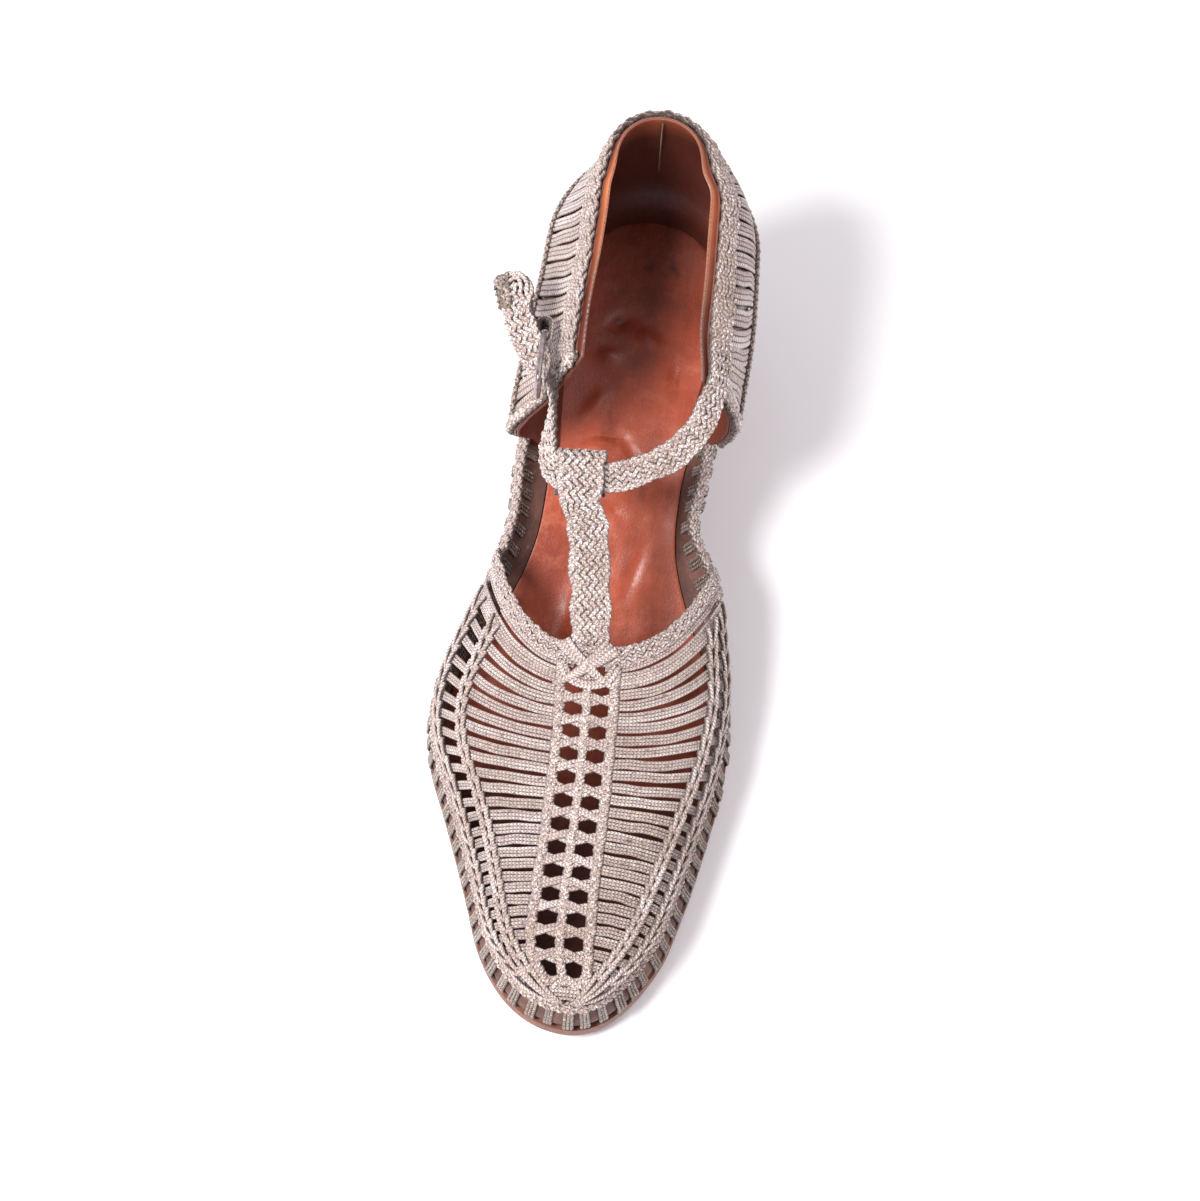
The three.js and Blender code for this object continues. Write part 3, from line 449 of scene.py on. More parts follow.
def even_path(points, faces, spacing):
    """A smooth path through points, with a point every so often, and the way its back looks."""
    length = spread_out(points)
    at = np.linspace(0, length[-1], max(3, int(length[-1] / spacing) + 1))
    smooth = lambda values: np.column_stack([through(length, values[:, k], at) for k in range(3)])
    return smooth(points), unit(smooth(faces))


def frame_of(path, face, ring=False):
    """Directions along, across and up from a path."""
    tangent = unit(np.roll(path, -1, 0) - np.roll(path, 1, 0)) if ring else unit(np.gradient(path, axis=0))
    across = unit(np.cross(tangent, face))
    return tangent, across, np.cross(across, tangent)


class Skein:
    """Cords gathered into one mesh, with a map that runs along and round each cord."""

    def __init__(self):
        self.points, self.quads, self.ends, self.map, self.tone = [], [], [], [], []
        self.count = 0

    def cord(self, path, face, width, height, sides=6, tone=None, ring=False):
        """Lays one cord along a path in millimetres; face is the way its back looks."""
        n = len(path)
        _, across, up = frame_of(path, face, ring)
        width = np.broadcast_to(width, n)[:, None, None] / 2
        height = np.broadcast_to(height, n)[:, None, None] / 2
        turn = 2 * np.pi * np.arange(sides) / sides
        body = across[:, None] * np.cos(turn)[None, :, None] * width + up[:, None] * np.sin(turn)[None, :, None] * height
        tone = RNG.random() if tone is None else tone
        rows = np.arange(n if ring else n - 1)
        a, b = np.meshgrid(rows, np.arange(sides), indexing="ij")
        c, d = (a + 1) % n, (b + 1) % sides
        quads = np.stack([a * sides + b, c * sides + b, c * sides + d, a * sides + d], -1).reshape(-1, 4)
        length = np.append(spread_out(path), spread_out(path)[-1] + 1)
        u0, u1, v0, v1 = length[a], length[a + 1], b / sides, (b + 1) / sides
        corners = [np.stack(pair, -1) for pair in ((u0, v0), (u1, v0), (u1, v1), (u0, v1))]
        self.points.append((path[:, None] + body).reshape(-1, 3))
        self.quads.append(quads + self.count)
        self.map.append(np.stack(corners, 2).reshape(-1, 2))
        if ring:
            self.tone.append(np.full(n * sides, tone))
            self.count += n * sides
            return
        first, last, tip = self.count, self.count + (n - 1) * sides, self.count + n * sides
        b, d = np.arange(sides), (np.arange(sides) + 1) % sides
        self.ends.append(np.stack([first + b, first + d, tip + 0 * b], -1))
        self.ends.append(np.stack([last + d, last + b, tip + 1 + 0 * b], -1))
        self.points.append(path[[0, -1]])
        self.tone.append(np.full(n * sides + 2, tone))
        self.count += n * sides + 2

    def mesh(self, name, finish):
        points = np.concatenate(self.points) * MM
        quads = np.concatenate(self.quads)
        ends = np.concatenate(self.ends) if self.ends else np.zeros((0, 3), int)
        mesh = bpy.data.meshes.new(name)
        mesh.vertices.add(len(points))
        mesh.vertices.foreach_set("co", points.ravel())
        corners = np.concatenate([quads.ravel(), ends.ravel()])
        mesh.loops.add(len(corners))
        mesh.loops.foreach_set("vertex_index", corners)
        starts = np.concatenate([np.arange(len(quads)) * 4, 4 * len(quads) + np.arange(len(ends)) * 3])
        mesh.polygons.add(len(starts))
        mesh.polygons.foreach_set("loop_start", starts)
        mesh.polygons.foreach_set("use_smooth", np.ones(len(starts), bool))
        mesh.update(calc_edges=True)
        around = mesh.uv_layers.new(name="along_cord")
        flat = np.concatenate([np.concatenate(self.map), np.zeros((3 * len(ends), 2))])
        around.data.foreach_set("uv", flat.ravel())
        tone = mesh.attributes.new("cord_tone", "FLOAT", "POINT")
        tone.data.foreach_set("value", np.concatenate(self.tone))
        return add_piece(name, mesh, finish)


def add_piece(name, mesh, finish):
    mesh.materials.append(finish)
    piece = bpy.data.objects.new(name, mesh)
    bpy.context.collection.objects.link(piece)
    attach(piece, "root")
    return piece


def wander(count, amount, every=6):
    """A slow random drift for a row of points."""
    knots = RNG.normal(0, amount, max(4, count // every + 2))
    return through(np.linspace(0, 1, len(knots)), knots, np.linspace(0, 1, count))


def plait(skein, path, face, width, strands, pitch, ply=1, thickness=1.0, sink=1.0, ring=False, fill=1.1, drift=0.06):
    """A flat plait: each strand swings from edge to edge of the path and goes over and under the others."""
    length = spread_out(path)
    if ring:
        round_trip = length[-1] + np.linalg.norm(path[0] - path[-1])
        pitch = round_trip / max(1, round(round_trip / pitch))
    tangent, across, up = frame_of(path, face, ring)
    width = np.broadcast_to(width, len(path))
    slope = math.atan(2 * float(width.mean()) / pitch)
    cord_width = fill * pitch * math.sin(slope) / (strands * ply)
    cord_height = thickness * cord_width
    swing_half = np.maximum(0.1, (width - cord_width) / 2)
    for strand in range(strands):
        for part in range(ply):
            phase = strand / strands + (part - (ply - 1) / 2) / (strands * ply)
            swing = 2 * np.pi * (length / pitch + phase)
            centre = 2 * np.pi * (length / pitch + strand / strands)
            side = np.arcsin(0.95 * np.cos(swing)) / math.asin(0.95)
            over = np.cos(strands * centre) * np.tanh(3 * np.sin(centre))
            shift = 0 if ring else wander(len(path), drift)
            centre_line = path + across * (swing_half * side + shift)[:, None] + up * (sink * cord_height * 0.5 * over)[:, None]
            skein.cord(centre_line, up, cord_width, cord_height, ring=ring)


# ---------------------------------------------------------------- finishes


class Finish:
    """A shader with helpers for its grain, colour and relief."""

    def __init__(self, name, **sockets):
        self.material = bpy.data.materials.new(name)
        self.material.use_nodes = True
        self.tree = self.material.node_tree
        self.shader = self.tree.nodes["Principled BSDF"]
        for socket, value in sockets.items():
            self.shader.inputs[socket.replace("_", " ")].default_value = value

    def node(self, kind, **settings):
        made = self.tree.nodes.new(kind)
        for key, value in settings.items():
            setattr(made, key, value)
        return made

    def wire(self, source, target):
        self.tree.links.new(source, target)
        return target

    def place(self, scale=(1, 1, 1), shift=(0, 0, 0)):
        mapping = self.node("ShaderNodeMapping")
        mapping.inputs["Scale"].default_value = scale
        mapping.inputs["Location"].default_value = shift
        self.wire(self.node("ShaderNodeTexCoord").outputs["Object"], mapping.inputs["Vector"])
        return mapping.outputs["Vector"]

    def math(self, operation, a, b=0.0):
        made = self.node("ShaderNodeMath", operation=operation)
        for value, socket in zip((a, b), made.inputs):
            if isinstance(value, (int, float)):
                socket.default_value = value
            else:
                self.wire(value, socket)
        return made.outputs["Value"]

    def noise(self, vector, scale, detail=4, roughness=0.55):
        made = self.node("ShaderNodeTexNoise")
        made.inputs["Scale"].default_value = scale
        made.inputs["Detail"].default_value = detail
        made.inputs["Roughness"].default_value = roughness
        self.wire(vector, made.inputs["Vector"])
        return made.outputs["Fac"]

    def cells(self, vector, scale, feature="F1"):
        made = self.node("ShaderNodeTexVoronoi", feature=feature)
        made.inputs["Scale"].default_value = scale
        self.wire(vector, made.inputs["Vector"])
        return made.outputs["Distance"]

    def ramp(self, value, *stops):
        made = self.node("ShaderNodeValToRGB")
        while len(made.color_ramp.elements) < len(stops):
            made.color_ramp.elements.new(0.5)
        for element, (at, colour) in zip(made.color_ramp.elements, stops):
            element.position = at
            element.color = (*colour, 1) if isinstance(colour, tuple) else (colour, colour, colour, 1)
        self.wire(value, made.inputs["Fac"])
        return made.outputs["Color"]

    def mix(self, share, a, b, blend="MIX"):
        made = self.node("ShaderNodeMix", data_type="RGBA", blend_type=blend)
        sockets = (made.inputs[0], made.inputs[6], made.inputs[7])
        for value, socket in zip((share, a, b), sockets):
            if isinstance(value, tuple):
                socket.default_value = (*value, 1)
            elif isinstance(value, (int, float)):
                socket.default_value = value
            else:
                self.wire(value, socket)
        return made.outputs[2]

    def relief(self, height, distance, strength=1.0, under=None):
        made = self.node("ShaderNodeBump")
        made.inputs["Strength"].default_value = strength
        made.inputs["Distance"].default_value = distance
        self.wire(height, made.inputs["Height"])
        if under is not None:
            self.wire(under, made.inputs["Normal"])
        return made.outputs["Normal"]

    def done(self, colour=None, roughness=None, normal=None):
        for value, socket in ((colour, "Base Color"), (roughness, "Roughness"), (normal, "Normal")):
            if value is not None:
                self.wire(value, self.shader.inputs[socket])
        return self.material


def silver_cord(name, light, middle, dark, tarnished):
    """Braided cord of silvery thread with gold in it, tarnish and dark specks, with painted shade between its stitches
    and down its sides.
    """
    finish = Finish(name, Metallic=0.2, Sheen_Weight=0.25, Sheen_Roughness=0.4)
    around = finish.node("ShaderNodeUVMap", uv_map="along_cord").outputs["UV"]
    parts = finish.node("ShaderNodeSeparateXYZ")
    finish.wire(around, parts.inputs[0])
    from_top = finish.math("ABSOLUTE", finish.math("SUBTRACT", parts.outputs["Y"], 0.25))
    turn = finish.math("ADD", finish.math("MULTIPLY", parts.outputs["X"], 0.95), finish.math("MULTIPLY", from_top, 3.2))
    stitch = finish.math("SINE", finish.math("MULTIPLY", turn, 2 * math.pi))
    thread = finish.noise(around, 7, 3, 0.7)
    spot = finish.place()
    tarnish = finish.noise(spot, 34, 6, 0.62)
    speck = finish.noise(finish.place((1, 1, 1), (0.3, 0.1, 0.2)), 1100, 2, 0.6)
    tone = finish.node("ShaderNodeAttribute", attribute_name="cord_tone").outputs["Fac"]
    base = finish.ramp(tone, (0.0, middle), (0.45, middle), (1.0, light))
    base = finish.mix(finish.ramp(tarnish, (0.45, 0.0), (0.7, tarnished)), base, (0.33, 0.215, 0.15))
    # Painted shade: the cord is darkened in the grooves between its stitches, where the relief is low.
    base = finish.mix(finish.ramp(stitch, (0.0, 0.6), (0.7, 0.0)), base, dark)
    base = finish.mix(finish.ramp(speck, (0.6, 0.0), (0.68, 0.7)), base, (0.82, 0.68, 0.44))
    base = finish.mix(finish.ramp(speck, (0.32, 0.85), (0.41, 0.0)), base, dark)
    # Painted shade: each cord is darkened towards black down its sides and underside, away from the top line of its
    # map.
    base = finish.mix(finish.ramp(from_top, (0.11, 0.0), (0.25, 0.9)), base, (0.05, 0.026, 0.02))
    lift = finish.math("ADD", finish.math("MULTIPLY", stitch, 0.5), thread)
    return finish.done(base, finish.ramp(tarnish, (0.3, 0.34), (0.7, 0.55)), finish.relief(lift, 0.00025, 1.0))


def insole_leather():
    """Polished red-brown leather with foot marks, small dents, dark spots at the heel, darker towards the heel, and
    painted shade on its front part under the vamp.
    """
    finish = Finish("insole_leather", Coat_Weight=0.15, Coat_Roughness=0.22, Specular_IOR_Level=0.3)
    spot = finish.place()
    cloud = finish.noise(spot, 22, 5, 0.6)
    streak = finish.noise(finish.place((3, 0.7, 1)), 60, 5, 0.65)
    pores = finish.cells(spot, 1500)
    mark_and_shade = finish.node("ShaderNodeAttribute", attribute_name="foot_marks_and_painted_shade").outputs["Fac"]
    base = finish.ramp(cloud, (0.3, (0.26, 0.046, 0.023)), (0.5, (0.38, 0.070, 0.032)), (0.72, (0.50, 0.112, 0.053)))
    base = finish.mix(finish.ramp(streak, (0.42, 0.0), (0.72, 0.6)), base, (0.15, 0.028, 0.016))
    smear = finish.noise(finish.place((1, 1, 1), (0.02, 0.05, 0)), 130, 6, 0.7)
    base = finish.mix(finish.ramp(smear, (0.52, 0.0), (0.74, 0.45)), base, (0.60, 0.17, 0.095))
    # Darkened by the per-point mask: foot marks, plus painted shade under the vamp.
    base = finish.mix(mark_and_shade, base, (0.05, 0.012, 0.009))
    grain = finish.relief(pores, 0.00012, 0.35)
    dents = finish.relief(finish.noise(finish.place((1, 1.2, 1)), 48, 2, 0.45), 0.0035, 0.4, grain)
    return finish.done(base, finish.ramp(smear, (0.3, 0.26), (0.7, 0.5)), dents)


def lining_leather():
    """Orange-tan lining leather, darker towards the back, with painted shade darkening it low down inside the counter.
    """
    finish = Finish("lining_leather", Coat_Weight=0.1, Coat_Roughness=0.4)
    spot = finish.place()
    cloud = finish.noise(spot, 45, 5, 0.6)
    z = finish.node("ShaderNodeSeparateXYZ")
    finish.wire(finish.node("ShaderNodeTexCoord").outputs["Object"], z.inputs[0])
    low = finish.ramp(finish.math("MULTIPLY", finish.math("SUBTRACT", 0.105, z.outputs["Z"]), 40), (0.04, 0.0), (0.4, 0.85))
    base = finish.ramp(cloud, (0.3, (0.34, 0.08, 0.03)), (0.7, (0.52, 0.15, 0.055)))
    back = finish.ramp(finish.math("MULTIPLY", z.outputs["Y"], 40), (0.1, 0.0), (0.8, 0.7))
    base = finish.mix(back, base, (0.14, 0.028, 0.018))
    # Painted shade: the lining is darkened towards black low down inside the counter.
    base = finish.mix(low, base, (0.06, 0.012, 0.009))
    return finish.done(base, finish.ramp(cloud, (0.3, 0.4), (0.7, 0.58)), finish.relief(finish.noise(spot, 900, 3), 0.00015, 0.5))


def rand_leather():
    """Dull scuffed brown leather round the foot of the upper."""
    finish = Finish("rand_leather")
    spot = finish.place()
    cloud = finish.noise(spot, 70, 6, 0.65)
    scuff = finish.noise(finish.place((1, 1, 2.4)), 330, 5, 0.7)
    base = finish.ramp(cloud, (0.3, (0.055, 0.025, 0.02)), (0.5, (0.11, 0.047, 0.036)), (0.72, (0.21, 0.095, 0.07)))
    base = finish.mix(finish.ramp(scuff, (0.55, 0.0), (0.75, 0.6)), base, (0.33, 0.17, 0.125))
    return finish.done(base, finish.ramp(cloud, (0.3, 0.5), (0.7, 0.75)), finish.relief(scuff, 0.0003, 0.6))


def sole_leather():
    """Tan sole leather with an orange-brown worn edge."""
    finish = Finish("sole_leather")
    spot = finish.place()
    cloud = finish.noise(spot, 40, 6, 0.6)
    wear = finish.noise(finish.place((0.6, 2, 1)), 420, 4, 0.65)
    base = finish.ramp(cloud, (0.3, (0.14, 0.056, 0.038)), (0.7, (0.27, 0.115, 0.075)))
    base = finish.mix(finish.ramp(wear, (0.45, 0.0), (0.72, 0.7)), base, (0.10, 0.045, 0.03))
    return finish.done(base, finish.ramp(cloud, (0.3, 0.5), (0.7, 0.68)), finish.relief(wear, 0.0002, 0.5))


def heel_leather():
    """Dark red-brown polished leather over the heel."""
    finish = Finish("heel_leather", Coat_Weight=0.3, Coat_Roughness=0.25)
    spot = finish.place()
    cloud = finish.noise(spot, 55, 5, 0.6)
    base = finish.ramp(cloud, (0.3, (0.10, 0.022, 0.014)), (0.7, (0.19, 0.046, 0.028)))
    scratch = finish.noise(finish.place((1, 1, 0.15)), 700, 3, 0.6)
    base = finish.mix(finish.ramp(scratch, (0.62, 0.0), (0.72, 0.4)), base, (0.32, 0.12, 0.08))
    return finish.done(base, finish.ramp(cloud, (0.3, 0.3), (0.7, 0.48)), finish.relief(finish.cells(spot, 1300), 0.00012, 0.4))


def top_piece_rubber():
    """Worn dark rubber under the heel."""
    finish = Finish("top_piece_rubber")
    spot = finish.place()
    cloud = finish.noise(spot, 160, 6, 0.7)
    base = finish.ramp(cloud, (0.35, (0.018, 0.015, 0.014)), (0.75, (0.075, 0.062, 0.055)))
    return finish.done(base, finish.ramp(cloud, (0.3, 0.7), (0.7, 0.9)), finish.relief(cloud, 0.0002, 0.5))


def buckle_metal():
    """Tarnished pinkish steel."""
    finish = Finish("buckle_metal", Metallic=0.85)
    cloud = finish.noise(finish.place(), 420, 5, 0.65)
    base = finish.ramp(cloud, (0.35, (0.22, 0.17, 0.165)), (0.7, (0.48, 0.41, 0.42)))
    return finish.done(base, finish.ramp(cloud, (0.3, 0.25), (0.7, 0.5)), finish.relief(cloud, 0.00008, 0.5))


def pale_floor():
    finish = Finish("pale_floor", Base_Color=(0.93, 0.915, 0.94, 1), Roughness=0.8)
    return finish.done()


CORD = silver_cord("silver_cord", (0.96, 0.85, 0.83), (0.68, 0.55, 0.52), (0.16, 0.085, 0.068), 0.5)
WORN_CORD = silver_cord("worn_cord", (0.56, 0.46, 0.42), (0.30, 0.22, 0.19), (0.06, 0.038, 0.03), 0.9)
INSOLE = insole_leather()
LINING = lining_leather()
RAND = rand_leather()
SOLE_HIDE = sole_leather()
HEEL_HIDE = heel_leather()
TOP_PIECE = top_piece_rubber()
METAL = buckle_metal()
THREAD = silver_cord("pale_thread", (0.62, 0.45, 0.33), (0.5, 0.33, 0.22), (0.2, 0.1, 0.06), 0.3)


# ---------------------------------------------------------------- leather and metal pieces


def skin(name, outer, inner, finish, ring=False, edge=0.3, segments=2):
    """A closed sheet between two grids of points, with softened edges."""
    rows, columns = outer.shape[:2]
    points = np.concatenate([outer.reshape(-1, 3), inner.reshape(-1, 3)]) * MM
    half = rows * columns
    wrap = lambda i: i % rows
    last = rows if ring else rows - 1
    faces = []
    for i in range(last):
        n = wrap(i + 1)
        for j in range(columns - 1):
            a, b, c, d = i * columns + j, n * columns + j, n * columns + j + 1, i * columns + j + 1
            faces += [(a, b, c, d), (a + half, d + half, c + half, b + half)]
        for j, turned in ((0, False), (columns - 1, True)):
            a, b = i * columns + j, n * columns + j
            faces.append((a, a + half, b + half, b) if not turned else (b, b + half, a + half, a))
    if not ring:
        for i, turned in ((0, True), (rows - 1, False)):
            for j in range(columns - 1):
                a, b = i * columns + j, i * columns + j + 1
                faces.append((a, a + half, b + half, b) if not turned else (b, b + half, a + half, a))
    mesh = bpy.data.meshes.new(name)
    mesh.from_pydata(points.tolist(), [], faces)
    piece = add_piece(name, mesh, finish)
    bpy.ops.object.select_all(action="DESELECT")
    piece.select_set(True)
    bpy.context.view_layer.objects.active = piece
    bpy.ops.object.mode_set(mode="EDIT")
    bpy.ops.mesh.select_all(action="SELECT")
    bpy.ops.mesh.remove_doubles(threshold=2e-6)
    bpy.ops.mesh.normals_make_consistent(inside=False)
    bpy.ops.object.mode_set(mode="OBJECT")
    if edge:
        bevel = piece.modifiers.new("soft_edge", "BEVEL")
        bevel.width = edge * MM
        bevel.segments = segments
        bevel.limit_method = "ANGLE"
        bevel.angle_limit = math.radians(50)
        bevel.harden_normals = False
        bpy.ops.object.modifier_apply(modifier=bevel.name)
    bpy.ops.object.shade_smooth_by_angle(angle=math.radians(40))
    return piece


def sole_grid(inset, height, stations=150, across=28, dish=0):
    """Points over the sole: inset from its edge at a height that follows the sole."""
    turn = np.linspace(0.004, 0.996, stations)
    weight = np.linspace(-1, 1, across + 1)
    ends = []
    for side in (-1, 1):
        side = np.full(stations, side)
        ends.append(edge_point(side, turn) - edge_normal(side, turn) * inset(side, along_of(turn))[:, None])
    flat = ends[0][:, None] + (ends[1] - ends[0])[:, None] * ((weight + 1) / 2)[None, :, None]
    along = along_at(flat[..., 1])
    z = height(along.ravel()).reshape(along.shape) - dish * (1 - weight[None] ** 2) * np.sin(np.pi * turn)[:, None]
    return np.concatenate([flat, z[..., None]], -1)


def rim_stations(count):
    """Sides and turns right round the rim, from the heel by the lateral side to the toe and back."""
    turn = np.linspace(0, 2, count, endpoint=False)
    return np.where(turn < 1, -1.0, 1.0), np.where(turn < 1, turn, 2 - turn)


def make_outsole():
    flush = lambda side, along: np.zeros_like(along)
    top = sole_grid(flush, lambda along: sole_rise(along) + OUTSOLE_THICKNESS)
    under = sole_grid(flush, sole_rise)
    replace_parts(skin("outsole_leather", top, under, SOLE_HIDE, edge=0.6, segments=3), "outsole")


# Dents (and, below zero, swellings) pressed into the insole by the foot: side in shares of BALL_WIDTH, along in
# shares of SOLE_LENGTH, half sizes and depth in millimetres, turn in degrees.
DENTS = (
    (-0.075, 0.158, 3.5, 1.8, 25, 0.55),
    (0.023, 0.177, 4.0, 2.2, -20, -0.45),
    (-0.099, 0.203, 3.0, 2.0, 10, -0.4),
    (-0.126, 0.265, 5.0, 2.4, 60, -0.4),
    (0.122, 0.219, 3.0, 1.5, 80, 0.3),
    (-0.138, 0.3, 3.5, 1.3, 15, 0.4),
    (-0.055, 0.298, 4.5, 1.2, -5, 0.55),
    (0.01, 0.315, 4.0, 1.2, -50, 0.5),
    (-0.066, 0.318, 7.0, 3.6, 0, -0.5),
    (-0.03, 0.379, 4.0, 1.1, -15, 0.4),
    (0.06, 0.44, 6.0, 1.4, 70, 0.3),
    (-0.15, 0.5, 8.0, 3.0, 80, -0.4),
)
# Dark marks left by the foot: side and along as above, radius in millimetres, darkness.
MARKS = (
    (0.08, 0.081, 1.5, 0.5),
    (0.055, 0.09, 1.0, 0.4),
    (0.1, 0.088, 0.8, 0.4),
    (-0.003, 0.083, 1.3, 0.4),
    (0.01, 0.076, 0.7, 0.4),
    (-0.078, 0.118, 1.3, 0.35),
    (-0.083, 0.155, 1.1, 0.7),
    (0.02, 0.12, 4.5, 0.3),
    (0.11, 0.13, 4.0, 0.25),
    (-0.14, 0.42, 2.2, 0.35),
    (0.05, 0.36, 1.4, 0.3),
)


def make_insole():
    inset = lambda side, along: -wall_out(side, along, 0) + RAND_THICKNESS + CLEARANCE
    top = sole_grid(inset, insole_top, 260, 56, INSOLE_DISH)
    for side, along, long, wide, turn, depth in DENTS:
        x, y = top[..., 0] - side * BALL_WIDTH, top[..., 1] - (HEEL_BACK_Y - along * SOLE_LENGTH)
        c, d = math.cos(math.radians(turn)), math.sin(math.radians(turn))
        top[..., 2] -= 2.4 * depth * np.exp(-(((x * c + y * d) / long) ** 2) - ((y * c - x * d) / wide) ** 2)
    under = sole_grid(inset, lambda along: sole_rise(along) + OUTSOLE_THICKNESS + CLEARANCE, 260, 56)
    piece = skin("insole_sheet", top, under, INSOLE, edge=0.5)
    spots = np.empty(3 * len(piece.data.vertices))
    piece.data.vertices.foreach_get("co", spots)
    x, y = spots.reshape(-1, 3)[:, 0] / MM, spots.reshape(-1, 3)[:, 1] / MM
    # Painted shade: the insole is darkened from midway forward, where it lies under the vamp; it is also made darker
    # towards the heel, and the MARKS add dark spots.
    dark = 0.9 * ease((along_at(y) - 0.56) / 0.2) + 0.45 * ease((0.2 - along_at(y)) / 0.18)
    for side, along, radius, depth in MARKS:
        far = ((x - side * BALL_WIDTH) ** 2 + (y - HEEL_BACK_Y + along * SOLE_LENGTH) ** 2) / radius**2
        dark = dark + depth * np.exp(-far)
    mark_and_shade = piece.data.attributes.new("foot_marks_and_painted_shade", "FLOAT", "POINT")
    mark_and_shade.data.foreach_set("value", np.clip(dark, 0, 0.95))
    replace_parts(piece, "insole")


def make_rand():
    side, turn = rim_stations(320)
    base = OUTSOLE_THICKNESS + CLEARANCE - (OUTSOLE_THICKNESS + CLEARANCE + INSOLE_THICKNESS)
    levels = [base, -1.2, 0, 1.5, 3, 4.5, RAND_HEIGHT]
    swell = [0.2, 0.7, 1.1, 1.35, 1.2, 0.7, 0.0]
    face = lambda inset, bulge: np.stack(
        [
            rim_point(side, turn, wall_out(side, along_of(turn), max(0, z)) - inset + bulge * out, z)
            for z, out in zip(levels, swell)
        ],
        1,
    )
    piece = skin("rand_strip", face(0, 1), face(RAND_THICKNESS, 0), RAND, ring=True)
    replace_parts(piece, "rand")


def heel_rings(levels, stations=44):
    """Rings of the heel from its ground face to the seat."""
    rings = []
    for level in levels:
        hollow = BREAST_HOLLOW * math.sin(math.pi * level)
        breast = float(turn_of((HEEL_BREAST_LENGTH - hollow) / SOLE_LENGTH))
        drop = 1 - level
        inset = HEEL_SEAT_INSET + HEEL_TAPER * drop + HEEL_BACK_CURVE * math.sin(math.pi * drop)
        turn = np.linspace(0.002, 1, stations) * breast
        sides = [edge_point(np.full(stations, s), turn) - edge_normal(np.full(stations, s), turn) * inset for s in (-1, 1)]
        rings.append(sides)
    return rings


def heel_grid(level, height, across=10, stations=44):
    left, right = heel_rings([level], stations)[0]
    weight = np.linspace(0, 1, across + 1)
    flat = left[:, None] + (right - left)[:, None] * weight[None, :, None]
    z = height(along_at(flat[..., 1]).ravel()).reshape(flat.shape[:2])
    return np.concatenate([flat, z[..., None]], -1)


def make_heel():
    low = TOP_PIECE_THICKNESS + CLEARANCE
    seat = lambda along: sole_rise(along) - CLEARANCE
    levels = np.linspace(0, 1, 15)
    grids = [heel_grid(level, lambda along, level=level: lerp(low, seat(along), level)) for level in levels]
    piece = stacked("heel_cover", grids, HEEL_HIDE, 0.5)
    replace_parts(piece, "heel_block")
    flat = [heel_grid(0, lambda along, z=z: np.full_like(along, z)) for z in (0, TOP_PIECE_THICKNESS)]
    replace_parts(stacked("heel_tip", flat, TOP_PIECE, 0.5), "heel_top_piece")


def stacked(name, grids, finish, edge):
    """A solid whose sides follow the borders of stacked grids."""
    rows, columns = grids[0].shape[:2]
    border = [(0, j) for j in range(columns)] + [(i, columns - 1) for i in range(1, rows)]
    border += [(rows - 1, j) for j in range(columns - 2, -1, -1)] + [(i, 0) for i in range(rows - 2, 0, -1)]
    side = np.array([[grid[i, j] for i, j in border] for grid in grids])
    points = np.concatenate([grids[0].reshape(-1, 3), grids[-1].reshape(-1, 3), side.reshape(-1, 3)]) * MM
    half = rows * columns
    faces = []
    for i in range(rows - 1):
        for j in range(columns - 1):
            a, b, c, d = i * columns + j, (i + 1) * columns + j, (i + 1) * columns + j + 1, i * columns + j + 1
            faces += [(a, b, c, d), (d + half, c + half, b + half, a + half)]
    count = len(border)
    for k in range(len(grids) - 1):
        for i in range(count):
            a, b = 2 * half + k * count + i, 2 * half + k * count + (i + 1) % count
            faces.append((a, b, b + count, a + count))
    mesh = bpy.data.meshes.new(name)
    mesh.from_pydata(points.tolist(), [], faces)
    piece = add_piece(name, mesh, finish)
    bpy.ops.object.select_all(action="DESELECT")
    piece.select_set(True)
    bpy.context.view_layer.objects.active = piece
    bpy.ops.object.mode_set(mode="EDIT")
    bpy.ops.mesh.select_all(action="SELECT")
    bpy.ops.mesh.remove_doubles(threshold=2e-6)
    bpy.ops.mesh.normals_make_consistent(inside=False)
    bpy.ops.object.mode_set(mode="OBJECT")
    bevel = piece.modifiers.new("soft_edge", "BEVEL")
    bevel.width = edge * MM
    bevel.segments = 3
    bevel.limit_method = "ANGLE"
    bevel.angle_limit = math.radians(50)
    bpy.ops.object.modifier_apply(modifier=bevel.name)
    bpy.ops.object.shade_smooth_by_angle(angle=math.radians(40))
    return piece


def quarter_sheet(depth, foot, rise):
    """Points of a sheet inside the quarter, from the insole up past the collar."""
    share = np.array([0.0, 0.08, 0.16, 0.2, 0.24, 0.32, 0.45, 0.6, 0.75, 0.88, 0.95, 1.0])
    rows = []
    for place in np.linspace(-1, 1, 160):
        side = np.full(len(share), -1.0 if place < 0 else 1.0)
        key = "lateral" if place < 0 else "medial"
        front = read(QUARTER_FRONT, key, np.clip(share * 1.2 - 0.2, 0, 1)) * QUARTER_LENGTH
        turn = turn_of(front / SOLE_LENGTH) * abs(place)
        along = along_of(turn)
        height = lerp(foot, collar_height(along) + rise, share)
        tuck = lerp(2.5, 0, ease((height - PLAIT_CENTRE - 1) / 4))
        rows.append(rim_point(side, turn, wall_out(side, along, np.maximum(0, height)) - depth - tuck, height))
    return np.array(rows)


